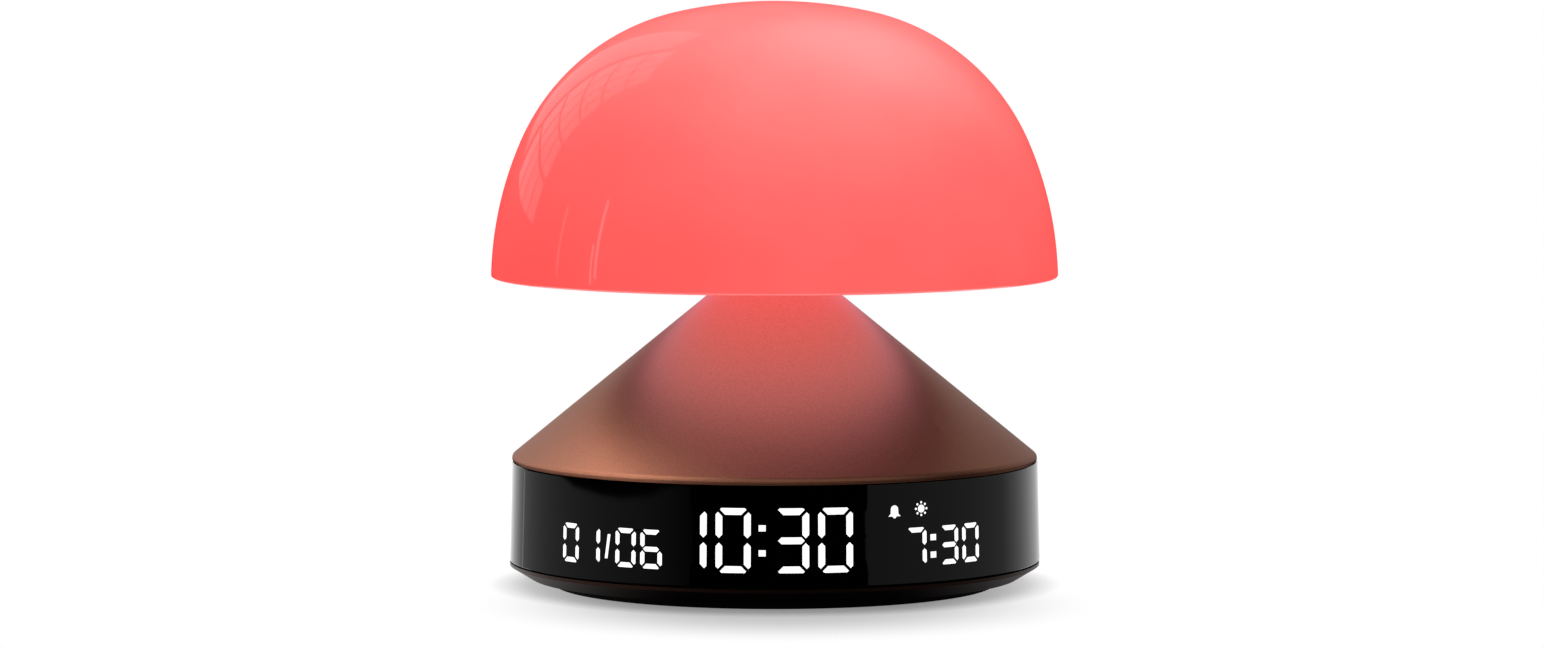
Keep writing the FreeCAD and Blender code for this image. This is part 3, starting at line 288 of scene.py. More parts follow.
# Grains of 0.35 to 0.9 mm are drawn coarser than real, so that they show.
finishes = {
    "coral_shade": coral_polycarbonate(),
    "frosted_floor": frosted_polycarbonate(),
    "bronze_cone": bronze_anodised_aluminium(),
    "bronze_cover": dark_bronze_anodised(),
    "gloss_black": gloss_black_acrylic(),
    "lit_white": lit_figure_film(),
    # Moulded white ABS: slightly warm, with a faint mould texture.
    "white_abs": plain("white_abs", "#DAD8D2", "#E8E6E0", (0.45, 0.6), grain_mm=0.8, bump_mm=0.01),
    # Bright zinc plate on turned steel screws: a pale metal with a tight sheen.
    "zinc_steel": plain("zinc_plated_steel", "#A8ACB0", "#C4C8CC", (0.25, 0.4),
                        grain_mm=0.6, bump_mm=0.003, metallic=1.0),
    # Milled aluminium board, bare: a light grey metal with a fine grain.
    "lamp_aluminium": plain("milled_aluminium", "#B4B6B8", "#CACCCE", (0.3, 0.45),
                            grain_mm=0.5, bump_mm=0.004, metallic=1.0),
    # Lamp packages, white epoxy moulded over a pale yellow phosphor: creamy and smooth.
    "lamp_white": plain("lamp_epoxy", "#E8E2B8", "#F4F0D8", (0.3, 0.4), grain_mm=0.7),
    # Moulded black ABS with a spark-eroded texture: dull and evenly grainy.
    "black_abs": plain("black_abs", "#121214", "#1C1C1F", (0.5, 0.65), grain_mm=0.6, bump_mm=0.012),
    # Machined acetal: a waxy off-white with a low sheen.
    "acetal": plain("acetal", "#D8D6CC", "#E6E4DC", (0.35, 0.45), grain_mm=1.5, bump_mm=0.002),
    # Drawn spring wire, bare: a grey metal with a soft sheen.
    "spring_steel": plain("drawn_spring_steel", "#7C8084", "#9CA0A4", (0.25, 0.4),
                          grain_mm=0.8, bump_mm=0.002, metallic=1.0),
    # Glass-epoxy board, printed with green solder resist: a smooth half gloss.
    "board_green": plain("solder_resist", "#0E4A28", "#14603A", (0.3, 0.42), grain_mm=0.9, bump_mm=0.006),
    # Cast polyimide film circuit: smooth amber with a half gloss.
    "flex_amber": plain("polyimide_film", "#A8661C", "#BE7A2C", (0.3, 0.4), grain_mm=1.2),
    # Moulded rubber: dull and slightly grainy.
    "foot_rubber": plain("moulded_rubber", "#0B0B0C", "#161617", (0.75, 0.9), grain_mm=0.5, bump_mm=0.02),
    # Black oxide on steel screws: a dark metal with an uneven satin sheen.
    "black_screws": plain("black_oxide_steel", "#1A1B1D", "#2A2B2E", (0.35, 0.5),
                          grain_mm=0.4, bump_mm=0.004, metallic=1.0),
    # Pressed pulp: dark grey, dull and rough.
    "speaker_paper": plain("pressed_paper_pulp", "#1D1C1B", "#302E2C", (0.8, 0.95),
                           grain_mm=0.4, bump_mm=0.03),
    # Nickel plate on the port's drawn shell: a bright grey metal.
    "port_steel": plain("nickel_plated_shell", "#8E9092", "#B0B2B4", (0.22, 0.35),
                        grain_mm=0.7, bump_mm=0.002, metallic=1.0),
    # Heat-shrunk film round the cell: smooth grey blue with broad soft waves.
    "battery_wrap": plain("shrink_wrap", "#8A9AA8", "#9CACBA", (0.3, 0.45), grain_mm=4.0, bump_mm=0.02),
    # Extruded soft PVC jacket: black with a low sheen.
    "cable_black": plain("pvc_jacket", "#101012", "#1A1A1C", (0.4, 0.55), grain_mm=0.8, bump_mm=0.006),
    # Moulded black ABS keys, textured finer than the chassis: near black and satin.
    "key_black": plain("textured_black_abs", "#0C0C0E", "#151517", (0.42, 0.55),
                       grain_mm=0.35, bump_mm=0.008),
}

# White ink, pad printed on the keys: a flat, slightly grey white.
mark_ink = plain("pad_printed_ink", "#C6C8CA", "#DCDEE0", (0.4, 0.5), grain_mm=0.5)


def dress_frame():
    """Gives each part of the frame the finish of its slot."""
    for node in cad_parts.values():
        for holder in node.material_slots:
            holder.material = finishes[holder.material.name.split(".")[0]]


# Meshes

def run_tree(carrier, tree, **values):
    """Runs a node tree on a carrier and keeps its result as the carrier's plain mesh."""
    modifier = carrier.modifiers.new(tree.name, "NODES")
    modifier.node_group = tree
    for item in tree.interface.items_tree:
        if item.in_out == "INPUT" and item.name in values:
            modifier[item.identifier] = values[item.name]
    bpy.context.view_layer.update()
    seen = carrier.evaluated_get(bpy.context.evaluated_depsgraph_get())
    mesh = bpy.data.meshes.new_from_object(seen)
    carrier.modifiers.remove(modifier)
    carrier.data = mesh


def tidy_normals(mesh):
    """Turns every face outwards and keeps corners crisp."""
    work = bmesh.new()
    work.from_mesh(mesh)
    bmesh.ops.recalc_face_normals(work, faces=work.faces)
    work.to_mesh(mesh)
    work.free()
    mesh.set_sharp_from_angle(angle=sharp_angle)


def finish_piece(work, name, body, material):
    """Turns built faces into a piece of a body."""
    mesh = bpy.data.meshes.new(name)
    bmesh.ops.recalc_face_normals(work, faces=work.faces)
    work.to_mesh(mesh)
    work.free()
    mesh.materials.append(material)
    mesh.shade_smooth()
    mesh.set_sharp_from_angle(angle=sharp_angle)
    piece = bpy.data.objects.new(name, mesh)
    scene.collection.objects.link(piece)
    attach(piece, body)
    return piece


# Shade

def turning_tree():
    """Spins the outline held by a mesh about Z, closes it and shades it."""
    tree = bpy.data.node_groups.new("turned_outline", "GeometryNodeTree")
    inputs = (("Outline", "NodeSocketGeometry"), ("Points in outline", "NodeSocketInt"),
              ("Steps round", "NodeSocketInt"), ("Weld distance", "NodeSocketFloat"),
              ("Finish", "NodeSocketMaterial"))
    for name, kind in inputs:
        tree.interface.new_socket(name, in_out="INPUT", socket_type=kind)
    tree.interface.new_socket("Turned", in_out="OUTPUT", socket_type="NodeSocketGeometry")
    given = add(tree, "NodeGroupInput").outputs
    points, steps = given["Points in outline"], given["Steps round"]

    # A grid with a column for each step round and a row for each point of the outline
    columns = add(tree, "ShaderNodeMath", {"operation": "ADD"}, steps, 1.0)
    grid = add(tree, "GeometryNodeMeshGrid", Vertices_X=columns.outputs[0], Vertices_Y=points)
    index = add(tree, "GeometryNodeInputIndex").outputs[0]
    row = add(tree, "ShaderNodeMath", {"operation": "MODULO"}, index, points)
    column = add(tree, "ShaderNodeMath", {"operation": "DIVIDE"}, index, points)
    column = add(tree, "ShaderNodeMath", {"operation": "FLOOR"}, column.outputs[0])

    # Each point takes its row's place in the outline, turned by its column's share of the circle
    share = add(tree, "ShaderNodeMath", {"operation": "DIVIDE"}, column.outputs[0], steps)
    turn = add(tree, "ShaderNodeMath", {"operation": "MULTIPLY"}, share.outputs[0], math.tau)
    place = add(tree, "GeometryNodeInputPosition").outputs[0]
    picked = add(tree, "GeometryNodeSampleIndex", {"data_type": "FLOAT_VECTOR", "domain": "POINT"},
                 Geometry=given["Outline"], Value=place, Index=row.outputs[0])
    spun = add(tree, "ShaderNodeVectorRotate", {"rotation_type": "Z_AXIS"},
               Vector=picked.outputs["Value"], Angle=turn.outputs[0])
    moved = add(tree, "GeometryNodeSetPosition", Geometry=grid.outputs["Mesh"], Position=spun.outputs[0])
    welded = add(tree, "GeometryNodeMergeByDistance", Geometry=moved.outputs[0],
                 Distance=given["Weld distance"])
    smooth = add(tree, "GeometryNodeSetShadeSmooth", Geometry=welded.outputs[0])
    real = add(tree, "GeometryNodeRealizeInstances", Geometry=smooth.outputs[0])
    painted = add(tree, "GeometryNodeSetMaterial", Geometry=real.outputs[0], Material=given["Finish"])
    add(tree, "NodeGroupOutput", Turned=painted.outputs[0])
    return tree


def turned(name, outline_mm, slot, body, replaced):
    """Piece turned from a closed outline of (radius, height) points in millimetres."""
    points = [(radius * MM, 0.0, height * MM) for radius, height in outline_mm]
    mesh = bpy.data.meshes.new(name)
    mesh.from_pydata(points, [(i, i + 1) for i in range(len(points) - 1)], [])
    piece = bpy.data.objects.new(name, mesh)
    scene.collection.objects.link(piece)
    run_tree(piece, turning_tree(), **{"Points in outline": len(points), "Steps round": steps_round,
                                       "Weld distance": weld_distance, "Finish": finishes[slot]})
    tidy_normals(piece.data)
    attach(piece, body)
    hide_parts(*replaced)
    return piece


def arc(centre, radius, first, last):
    """Points on an arc. Turns are from upright towards +X, in radians."""
    count = max(2, math.ceil(abs(last - first) / arc_step))
    turns = [first + (last - first) * i / count for i in range(count + 1)]
    return [(centre[0] + radius * math.sin(t), centre[1] + radius * math.cos(t)) for t in turns]


def rounded(outline, corners):
    """The outline with some corners, by their place in it, turned into arcs of a radius each."""
    result = []
    for index, point in enumerate(outline):
        if index not in corners:
            result.append(point)
            continue
        here, before, after = (Vector(outline[i % len(outline)]) for i in (index, index - 1, index + 1))
        back, ahead = (before - here).normalized(), (after - here).normalized()
        half = back.angle(ahead) / 2
        cut = corners[index] / math.tan(half)
        start, end = here + back * cut, here + ahead * cut
        centre = here + (back + ahead).normalized() * corners[index] / math.sin(half)
        for step in range(corner_steps + 1):
            spoke = start.lerp(end, step / corner_steps) - centre
            result.append(tuple(centre + spoke.normalized() * corners[index]))
    return result


def shade_arcs(radius, rim, top):
    """Crown, shoulder and skirt: centre, radius, first and last turn of each, so that they meet smoothly."""
    rim_turn = math.radians(90.0 - rim_lean)
    crown = (0.0, top - crown_radius_mm)
    skirt = (radius - skirt_radius_mm * math.sin(rim_turn), rim - skirt_radius_mm * math.cos(rim_turn))
    crown_reach, skirt_reach = crown_radius_mm - shoulder_radius_mm, skirt_radius_mm - shoulder_radius_mm
    apart = math.dist(crown, skirt)
    along = (crown_reach ** 2 - skirt_reach ** 2 + apart ** 2) / (2 * apart)
    aside = math.sqrt(crown_reach ** 2 - along ** 2)
    lean = math.atan2(skirt[0] - crown[0], skirt[1] - crown[1])
    shoulder = (crown[0] + along * math.sin(lean) + aside * math.cos(lean),
                crown[1] + along * math.cos(lean) - aside * math.sin(lean))
    crown_turn = math.atan2(shoulder[0] - crown[0], shoulder[1] - crown[1])
    shoulder_turn = math.atan2(shoulder[0] - skirt[0], shoulder[1] - skirt[1])
    return ((crown, crown_radius_mm, 0.0, crown_turn),
            (shoulder, shoulder_radius_mm, crown_turn, shoulder_turn),
            (skirt, skirt_radius_mm, shoulder_turn, rim_turn))


def skin(arcs, inset):
    """Points along the arcs, at a depth under them."""
    points = []
    for centre, radius, first, last in arcs:
        points += arc(centre, radius - inset, first, last)[1 if points else 0:]
    return points


def shade_outline():
    """Closed outline of the shade's wall, with its rounded rim and the ledge inside."""
    low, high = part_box("shade_dome")
    radius, rim, top = high.x / MM, low.z / MM, high.z / MM
    ledge_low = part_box("shade_floor")[0].z / MM + floor_wall_mm
    ledge_high = ledge_low + ledge_height_mm
    arcs = shade_arcs(radius, rim, top)
    outside, inside = skin(arcs, 0.0), skin(arcs, shade_wall_mm)
    below = [point for point in inside if point[1] < ledge_low - ledge_clear_mm]
    above = [point for point in inside if point[1] > ledge_high + ledge_clear_mm]
    root, tip = above[-1][0] + ledge_root_mm, above[-1][0] - ledge_width_mm
    wall = outside[:-1] + [(radius, rim), (below[-1][0], rim)] + below[::-1][1:]
    wall += [(root, ledge_low), (tip, ledge_low), (tip, ledge_high), (root, ledge_high)] + above[::-1]
    corner = len(outside) - 1
    return rounded(wall, {corner: rim_round_mm, corner + 1: rim_round_mm})


def make_shade():
    """The lit shade."""
    return turned("shade_shell", shade_outline(), "coral_shade", "head", ["shade_dome"])


# What gives way under the head

def make_yielding(name):
    """Welded copy of a CAD part, put in its place. The real part shortens when the head is pressed.
    """
    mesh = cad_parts[name].data.copy()
    work = bmesh.new()
    work.from_mesh(mesh)
    bmesh.ops.remove_doubles(work, verts=work.verts, dist=weld_distance)
    work.to_mesh(mesh)
    work.free()
    tidy_normals(mesh)
    piece = bpy.data.objects.new(name + "_yielding", mesh)
    scene.collection.objects.link(piece)
    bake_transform(piece)
    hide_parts(name)


# Rear keys

def key_outline(wide, flange, stem, front):
    """Outline of a key from the middle of its face to the end of its stem.

    Each entry is a radius, a place along Y and whether that place counts from the face.
    """
    flat = (key_cap_mm - key_edge_mm) * MM
    edge, dish = key_edge_mm * MM, key_dish_mm * MM
    outline = [(flat * i / face_rings, -dish * (1.0 - (i / face_rings) ** 2), True)
               for i in range(face_rings + 1)]
    for i in range(1, edge_rings + 1):
        turn = math.pi / (2 * edge_rings) * i
        outline.append((flat + edge * math.sin(turn), edge * (math.cos(turn) - 1.0), True))
    flange_front, flange_back = flange
    outline += [(key_cap_mm * MM, flange_back, False), (wide, flange_back, False)]
    outline += [(wide, flange_front, False), (stem, flange_front, False)]
    return outline + [(stem, front, False), (0.0, front, False)]


def measure_key(name):
    """Takes the middle and outline of a new key from the CAD's, and how a point is set on its face."""
    low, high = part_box(name)
    middle = (low + high) / 2
    points = [v.co.copy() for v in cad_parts[name].data.vertices]

    def off_axis(point):
        return math.hypot(point.x - middle.x, point.z - middle.z)

    wide = max(off_axis(point) for point in points)
    ends = [point.y for point in points if off_axis(point) > flange_share * wide]
    flange = (min(ends), max(ends))
    stem = max(off_axis(point) for point in points
               if point.y < flange[0] - past_flange_mm * MM and off_axis(point) > past_axis_mm * MM)
    rim = [point for point in points
           if point.y > flange[1] + past_cap_mm * MM and off_axis(point) > rim_share * key_cap_mm * MM]
    lowest, highest = min(rim, key=lambda p: p.z), max(rim, key=lambda p: p.z)
    reach = [math.hypot(point.x, point.y) for point in (lowest, highest)]

    def on_face(across, up, depth):
        share = (middle.z + up - lowest.z) / (highest.z - lowest.z)
        radius = reach[0] + (reach[1] - reach[0]) * share
        x = middle.x + across
        return (x, math.sqrt(radius ** 2 - x ** 2) + depth, middle.z + up)

    return middle, key_outline(wide, flange, stem, low.y), on_face


def cap_faces(middle, outline, on_face):
    """Rings of points for an outline, joined by faces."""
    work = bmesh.new()
    rings = []
    for radius, depth, from_face in outline:
        turns = [math.tau * i / key_steps for i in range(key_steps)] if radius > 0.0 else [0.0]
        ring = []
        for turn in turns:
            across, up = radius * math.cos(turn), radius * math.sin(turn)
            place = (middle.x + across, depth, middle.z + up)
            if from_face:
                place = on_face(across, up, depth)
            ring.append(work.verts.new(place))
        rings.append(ring)
    for one, two in zip(rings, rings[1:]):
        for i in range(key_steps):
            after = i + 1
            corners = [one[i % len(one)], one[after % len(one)], two[after % len(two)], two[i % len(two)]]
            work.faces.new(list(dict.fromkeys(corners)))
    return work


def mark_faces(marks, on_face):
    """Thin layer of ink on a key's dished face, for each outline of its mark."""
    def on_dish(across_mm, up_mm, above_mm):
        fall = 1.0 - (math.hypot(across_mm, up_mm) / (key_cap_mm - key_edge_mm)) ** 2
        return on_face(-across_mm * MM, up_mm * MM, (above_mm - key_dish_mm * fall) * MM)

    work = bmesh.new()
    layer = (ink_top_mm, ink_foot_mm)
    for shape in marks:
        heart = (sum(u for u, _ in shape) / len(shape), sum(v for _, v in shape) / len(shape))
        tops, feet = ([work.verts.new(on_dish(u, v, above)) for u, v in shape] for above in layer)
        top, foot = (work.verts.new(on_dish(*heart, above)) for above in layer)
        for i in range(len(shape)):
            after = (i + 1) % len(shape)
            work.faces.new((tops[i], tops[after], top))
            work.faces.new((feet[after], feet[i], foot))
            work.faces.new((tops[after], tops[i], feet[i], feet[after]))
    return work


def make_key(name, marks):
    """Moulded key with a dished face that follows the band, a rounded edge, and a printed mark."""
    middle, outline, on_face = measure_key(name)
    work = cap_faces(middle, outline, on_face)
    cap = finish_piece(work, name + "_cap", name, finishes["key_black"])
    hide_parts(name)
    work = mark_faces(marks, on_face)
    mark = finish_piece(work, name + "_mark", name, mark_ink)
    return [cap, mark]


def ring_of(count, radius, start=90.0):
    """Points evenly round a circle."""
    turns = [math.radians(start + 360.0 * i / count) for i in range(count)]
    return [(radius * math.cos(t), radius * math.sin(t)) for t in turns]


def sun_rays():
    """Narrow rays round the sun's disc."""
    rays = []
    for i in range(ray_count):
        t = math.tau * i / ray_count
        along, aside = (math.cos(t), math.sin(t)), (-ray_half_mm * math.sin(t), ray_half_mm * math.cos(t))
        corners = ((ray_start_mm, 1), (ray_start_mm, -1), (ray_end_mm, -1), (ray_end_mm, 1))
        rays.append([(along[0] * r + aside[0] * s, along[1] * r + aside[1] * s) for r, s in corners])
    return rays


def bell_shapes():
    """A bell and the clapper under it. The bell's outline is drawn in millimetres."""
    bell = [(-0.3, 1.15), (0.3, 1.15), (0.75, 0.7), (0.85, -0.35), (1.2, -0.8), (-1.2, -0.8),
            (-0.85, -0.35), (-0.75, 0.7)]
    turns = [math.pi * (1 + i / clapper_steps) for i in range(clapper_steps + 1)]
    clapper = [(clapper_wide_mm * math.cos(t), clapper_top_mm + clapper_deep_mm * math.sin(t)) for t in turns]
    return [bell, clapper]


def key_marks():
    """Outlines of the marks on the keys, in millimetres from the middle of each key."""
    return {"light_key": [ring_of(sign_steps, sun_mm)] + sun_rays(),
            "down_key": [ring_of(3, arrow_mm, 270.0)],
            "set_key": [ring_of(sign_steps, dot_mm)],
            "up_key": [ring_of(3, arrow_mm)],
            "alarm_key": bell_shapes()}


# Glow

def bare_material(name):
    """New material with nothing but its output."""
    material = bpy.data.materials.new(name)
    material.use_nodes = True
    tree = material.node_tree
    tree.nodes.remove(tree.nodes["Principled BSDF"])
    return material, tree


def glow(tree, strength, see_through):
    """White glow of a strength. A see-through one adds to what lies behind it."""
    shader = add(tree, "ShaderNodeEmission", Strength=strength)
    if see_through:
        clear = add(tree, "ShaderNodeBsdfTransparent")
        shader = add(tree, "ShaderNodeAddShader", None, shader.outputs[0], clear.outputs[0])
    tree.links.new(shader.outputs[0], tree.nodes["Material Output"].inputs["Surface"])


def shine_on(light, pieces):
    """Lets a light reach these pieces and nothing else."""
    group = bpy.data.collections.new(light.name + "_lights")
    for piece in pieces:
        group.objects.link(piece)
    light.light_linking.receiver_collection = group


# Table and air

def glow_with_painted_shadow(tree, contact_floor, shadow_floor, front, back):
    """How bright the table is: less near the foot and in the soft shadow, both painted shade, and by front
    and back.
    """
    # Painted shadow: the glow is lowered where the foot is near, and in a wide soft patch in front.
    contact = add(tree, "ShaderNodeAmbientOcclusion", {"samples": contact_samples},
                  Distance=contact_reach_mm * MM)
    near = add(tree, "ShaderNodeMapRange", Value=contact.outputs["AO"], To_Min=contact_floor, To_Max=1.0)
    place = add(tree, "ShaderNodeTexCoord").outputs["Object"]
    shadow_middle = (shadow_x_mm * MM, shadow_y_mm * MM, 0.0)
    away = add(tree, "ShaderNodeVectorMath", {"operation": "DISTANCE"}, place, shadow_middle)
    wide = add(tree, "ShaderNodeMapRange", {"interpolation_type": "SMOOTHSTEP"},
               Value=away.outputs["Value"], From_Min=shadow_core_mm * MM, From_Max=shadow_edge_mm * MM,
               To_Min=shadow_floor, To_Max=1.0)
    both = add(tree, "ShaderNodeMath", {"operation": "MULTIPLY"},
               near.outputs["Result"], wide.outputs["Result"])
    depth = add(tree, "ShaderNodeVectorMath", {"operation": "DOT_PRODUCT"}, place, brighter_way)
    slope = add(tree, "ShaderNodeMapRange", Value=depth.outputs["Value"],
                From_Min=brighter_start, From_Max=brighter_end, To_Min=front, To_Max=back)
    sloped = add(tree, "ShaderNodeMath", {"operation": "MULTIPLY"}, both.outputs[0], slope.outputs["Result"])
    return sloped.outputs[0]


def table(name, see_through, contact_floor, shadow_floor, front, back):
    """White glowing table top, with its shadow painted in."""
    bpy.ops.mesh.primitive_plane_add(size=table_size, location=(0, 0, 0))
    top = bpy.context.object
    top.name = name
    material, tree = bare_material(name)
    glow(tree, glow_with_painted_shadow(tree, contact_floor, shadow_floor, front, back), see_through)
    top.data.materials.append(material)
    top.visible_diffuse = False
    top.visible_shadow = False
    return top


def make_table(mirroring):
    """The table that the camera sees, and the one that only some pieces mirror."""
    seen = table("studio_table", see_through=False, contact_floor=0.45, shadow_floor=0.56,
                 front=1.0, back=1.0)
    seen.visible_glossy = False
    seen.visible_transmission = False
    mirrored = table("mirrored_table", see_through=True, contact_floor=0.2, shadow_floor=0.03,
                     front=0.1, back=1.2)
    mirrored.visible_camera = False
    shine_on(mirrored, mirroring)


def make_world():
    """White to the eye, and a faint even light on the object."""
    world = bpy.data.worlds.new("studio_air")
    scene.world = world
    world.use_nodes = True
    tree = world.node_tree
    back = tree.nodes["Background"]
    back.inputs["Color"].default_value = (1.0, 1.0, 1.0, 1.0)
    path = add(tree, "ShaderNodeLightPath")
    seen = add(tree, "ShaderNodeMapRange", Value=path.outputs["Is Camera Ray"],
               To_Min=air_strength, To_Max=1.0)
    tree.links.new(seen.outputs["Result"], back.inputs["Strength"])
    world.cycles_visibility.glossy = False


# Glowing sheets

def toward(azimuth, elevation):
    """Unit direction from the clock, by degrees round it from the front towards +X and degrees up."""
    turn, rise = math.radians(azimuth), math.radians(elevation)
    return Vector((math.sin(turn) * math.cos(rise), -math.cos(turn) * math.cos(rise), math.sin(rise)))


def sheet_mesh(name, rows):
    """Mesh through rows of points, with a map that runs from 0 to 1 along the rows and across them."""
    mesh = bpy.data.meshes.new(name)
    across = len(rows[0])
    faces = [(row * across + i, row * across + i + 1, (row + 1) * across + i + 1, (row + 1) * across + i)
             for row in range(len(rows) - 1) for i in range(across - 1)]
    mesh.from_pydata([point for row in rows for point in row], [], faces)
    spread = mesh.uv_layers.new(name="spread")
    for loop in mesh.loops:
        row, i = divmod(loop.vertex_index, across)
        spread.data[loop.index].uv = (i / (across - 1), row / (len(rows) - 1))
    return mesh


def faded(tree, levels, soft):
    """Strength of a sheet.

    It runs from one level to another along the rows, and fades over a soft share of each side.
    """
    place = add(tree, "ShaderNodeSeparateXYZ", Vector=add(tree, "ShaderNodeTexCoord").outputs["UV"])
    power = add(tree, "ShaderNodeMapRange", Value=place.outputs["X"], To_Min=levels[0], To_Max=levels[1])
    power = power.outputs["Result"]
    for axis in ("X", "Y") if soft else ():
        off = add(tree, "ShaderNodeMath", {"operation": "SUBTRACT"}, place.outputs[axis], 0.5)
        off = add(tree, "ShaderNodeMath", {"operation": "ABSOLUTE"}, off.outputs[0])
        fade = add(tree, "ShaderNodeMapRange", {"interpolation_type": "SMOOTHSTEP"}, Value=off.outputs[0],
                   From_Min=0.5 - soft / 2, From_Max=fade_end, To_Min=1.0, To_Max=0.0)
        both = add(tree, "ShaderNodeMath", {"operation": "MULTIPLY"}, power, fade.outputs["Result"])
        power = both.outputs[0]
    return power


def glowing(name, rows, levels, soft, pieces):
    """Glowing sheet through rows of points, for reflections on some pieces."""
    mesh = sheet_mesh(name, rows)
    sheet = bpy.data.objects.new(name, mesh)
    scene.collection.objects.link(sheet)
    material, tree = bare_material(name)
    glow(tree, faded(tree, levels, soft), see_through=True)
    mesh.materials.append(material)
    sheet.visible_camera = False
    sheet.visible_shadow = False
    shine_on(sheet, pieces)
    return sheet


def patch(name, azimuths, elevations, levels, soft, distance, pieces):
    """Glowing piece of a large sphere round the clock, between two azimuths and two elevations."""
    rows = []
    for line in range(patch_lines + 1):
        rise = elevations[0] + (elevations[1] - elevations[0]) * line / patch_lines
        turns = [azimuths[0] + (azimuths[1] - azimuths[0]) * i / patch_columns
                 for i in range(patch_columns + 1)]
        rows.append([studio_middle + toward(turn, rise) * distance for turn in turns])
    return glowing(name, rows, levels, soft, pieces)


def card(name, azimuth, elevation, half_angle, level, soft, distance, pieces, mirrored=True):
    """Flat glowing card that faces the clock, as wide as an angle to each side of its middle.

    One that isn't mirrored gives light alone.
    """
    ahead = toward(azimuth, elevation)
    aside = ahead.cross(Vector((0, 0, 1))).normalized()
    above = aside.cross(ahead)
    reach = distance * math.tan(math.radians(half_angle))
    middle = studio_middle + ahead * distance
    rows = [[middle + aside * reach * u + above * reach * v for u in (-1, 1)] for v in (-1, 1)]
    sheet = glowing(name, rows, (level, level), soft, pieces)
    sheet.visible_glossy = mirrored


# What each piece mirrors

def make_window(pieces):
    """Tall window at the left behind the clock: a plain pane, and a wide one with glazing bars."""
    patch("window_side", side_pane_azimuths, side_pane_elevations, (side_pane_level, side_pane_level),
          soft=0.1, distance=window_distance, pieces=pieces)
    step = Vector(((glazing_high.x - glazing_low.x) / glazing_columns,
                   (glazing_high.y - glazing_low.y) / glazing_lines))
    for column in range(glazing_columns):
        for line in range(glazing_lines):
            start = glazing_low + Vector((column * step.x, line * step.y))
            end = start + step * glazing_share
            patch(f"window_pane_{column}_{line}", (start.x, end.x), (start.y, end.y),
                  (glazing_level, glazing_level), soft=0.05, distance=window_distance, pieces=pieces)


def light_shade(shade):
    """Window, thin streaks of a lamp and a door, the pale table and a soft box, and an unseen key light."""
    make_window([shade])
    patch("lamp_streak", azimuths=(-98.3, -96.6), elevations=(-1.0, 16.0), levels=(2.2, 2.2),
          soft=0.3, distance=window_distance, pieces=[shade])
    patch("door_streak", azimuths=(-77.0, -75.4), elevations=(0.0, 21.0), levels=(6.0, 5.0),
          soft=0.1, distance=window_distance, pieces=[shade])
    patch("door_edge", azimuths=(-79.2, -78.0), elevations=(-2.0, 9.0), levels=(5.0, 5.0),
          soft=0.1, distance=window_distance, pieces=[shade])
    bounce = patch("table_bounce", azimuths=(-180.0, 180.0), elevations=(-88.0, -32.0), levels=(5.0, 5.0),
                   soft=0.1, distance=window_distance, pieces=[shade])
    bounce.visible_diffuse = False
    card("soft_box_back", azimuth=144.0, elevation=57.0, half_angle=36.0, level=2.2,
         soft=1.0, distance=2.0, pieces=[shade])
    card("shade_key", azimuth=30.0, elevation=70.0, half_angle=30.0, level=5.6,
         soft=0.0, distance=2.0, pieces=[shade], mirrored=False)


def light_cone(cone):
    """A room that is bright at the left, with a soft key light there, and dim at the right and in front."""
    patch("room_left", azimuths=(-180.0, -48.0), elevations=(-8.0, 75.0), levels=(0.3, 1.6),
          soft=0.15, distance=room_distance, pieces=[cone])
    card("cone_key", azimuth=-112.0, elevation=52.0, half_angle=20.0, level=2.2,
         soft=0.8, distance=1.5, pieces=[cone])
    patch("room_right", azimuths=(95.0, 180.0), elevations=(-8.0, 75.0), levels=(0.2, 0.5),
          soft=0.1, distance=room_distance, pieces=[cone])
    patch("room_front", azimuths=(-80.0, 80.0), elevations=(-8.0, 60.0), levels=(0.5, 0.22),
          soft=0.2, distance=room_distance, pieces=[cone])


def light_band(band):
    """Pale backdrop behind, walls that get darker towards the front, and the table's side at the left."""
    for name, azimuths, levels in (("backdrop_left", (-180.0, -139.5), (1.9, 0.34)),
                                   ("backdrop_right", (147.0, 180.0), (0.78, 1.0)),
                                   ("side_wall", (116.0, 147.0), (0.27, 0.78)),
                                   ("front_wall", (40.0, 116.0), (0.17, 0.27))):
        patch(name, azimuths, elevations=(-25.0, 15.0), levels=levels,
              soft=0.0, distance=wall_distance, pieces=[band])
    foot = [Vector((table_side_x, table_side_front, table_side_foot)),
            Vector((table_side_x, table_side_back, table_side_foot))]
    top = [Vector((table_side_x, table_side_front, table_side_front_top)),
           Vector((table_side_x, table_side_back, table_side_back_top))]
    glowing("table_edge", [foot, top], levels=(0.03, 0.36), soft=0.0, pieces=[band])


def light_rear(rear):
    """Two soft cards that show the keys and the port, seen from behind."""
    card("rear_card_left", azimuth=-140.0, elevation=40.0, half_angle=30.0, level=2.5,
         soft=0.6, distance=1.5, pieces=rear)
    card("rear_card_right", azimuth=165.0, elevation=50.0, half_angle=25.0, level=3.0,
         soft=0.6, distance=1.5, pieces=rear)


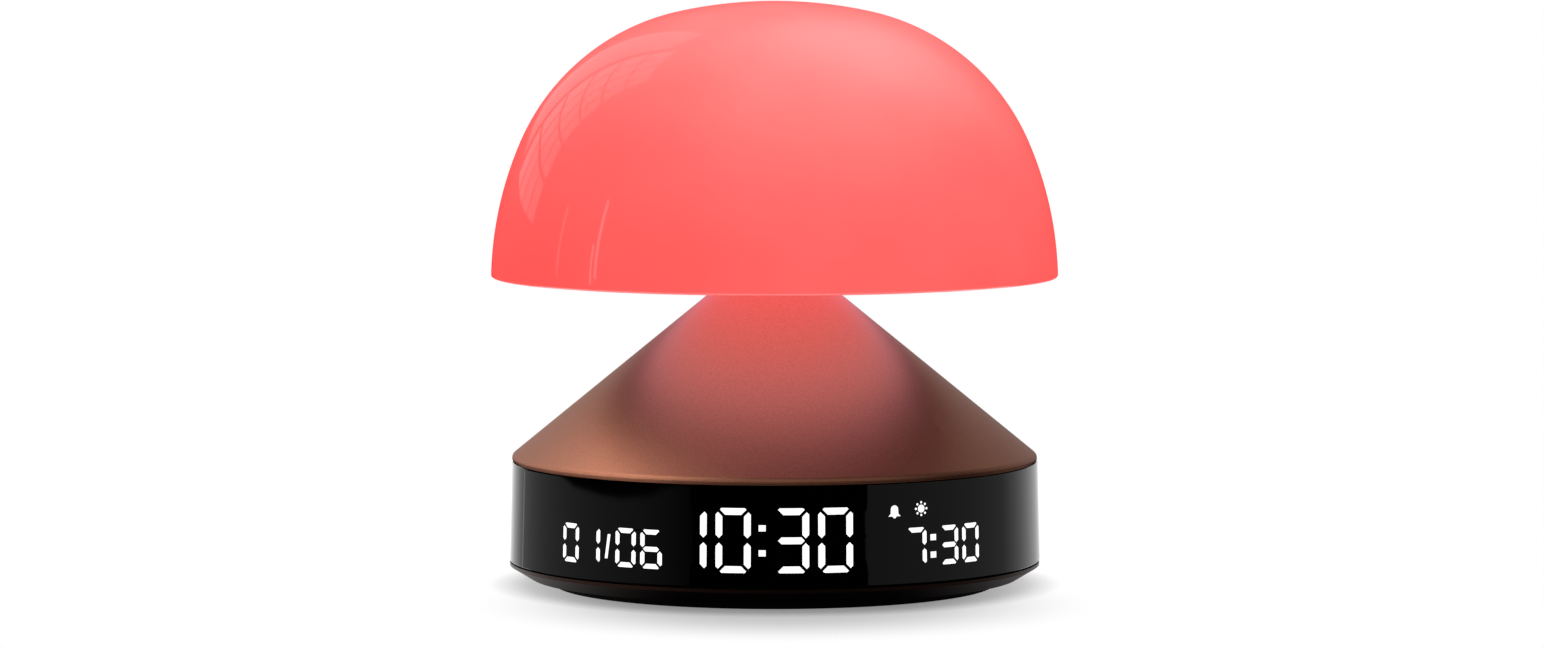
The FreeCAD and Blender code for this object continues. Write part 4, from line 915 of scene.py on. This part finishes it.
def make_under_glow(pieces):
    """Pink light from the shade's floor, reddest in the middle, as the cone mirrors it."""
    bpy.ops.mesh.primitive_circle_add(vertices=under_steps, radius=under_glow_mm * MM, fill_type="TRIFAN",
                                      location=(0, 0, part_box("shade_floor")[0].z - under_gap_mm * MM))
    disc = bpy.context.object
    disc.name = "under_glow"
    material, tree = bare_material("under_glow")
    place = add(tree, "ShaderNodeTexCoord").outputs["Object"]
    away = add(tree, "ShaderNodeVectorMath", {"operation": "LENGTH"}, Vector=place)
    share = add(tree, "ShaderNodeMapRange", Value=away.outputs["Value"], From_Max=under_glow_mm * MM)
    tone = add(tree, "ShaderNodeValToRGB", Fac=share.outputs["Result"])
    ramp = tone.color_ramp
    ramp.elements[0].position, ramp.elements[1].position = under_tones[0][0], under_tones[-1][0]
    for position, _ in under_tones[1:-1]:
        ramp.elements.new(position)
    for element, (_, hex_colour) in zip(ramp.elements, under_tones):
        element.color = linear(hex_colour)
    shader = add(tree, "ShaderNodeEmission", Color=tone.outputs["Color"], Strength=under_level)
    tree.links.new(shader.outputs[0], tree.nodes["Material Output"].inputs["Surface"])
    disc.data.materials.append(material)
    disc.visible_camera = False
    disc.visible_shadow = False
    shine_on(disc, pieces)


def make_camera():
    """Camera at the photograph's place: in front, a little above the shade's top and tilted down."""
    data = bpy.data.cameras.new("camera")
    data.sensor_width = sensor_mm
    data.lens = lens_mm
    camera = bpy.data.objects.new("camera", data)
    scene.collection.objects.link(camera)
    camera.location = camera_place
    camera.rotation_euler = (camera_tilt, 0.0, 0.0)
    scene.camera = camera


dress_frame()
shade = make_shade()
make_yielding("return_spring")
make_yielding("lamp_cable")
rear = [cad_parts["usb_port"]]
for key, marks in key_marks().items():
    rear += make_key(key, marks)
cone, band, cover, foot = (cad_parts[name] for name in
                           ("cone_body", "display_band", "bottom_cover", "foot_ring"))

# The shade's own glow reaches the shade alone. The cone's pink comes from the disc under it.
shine_on(shade, [shade])
make_table([cover, foot])
make_world()
light_shade(shade)
light_cone(cone)
light_band(band)
light_rear(rear)
make_under_glow([cone])
make_camera()
scene.view_settings.view_transform = "Standard"
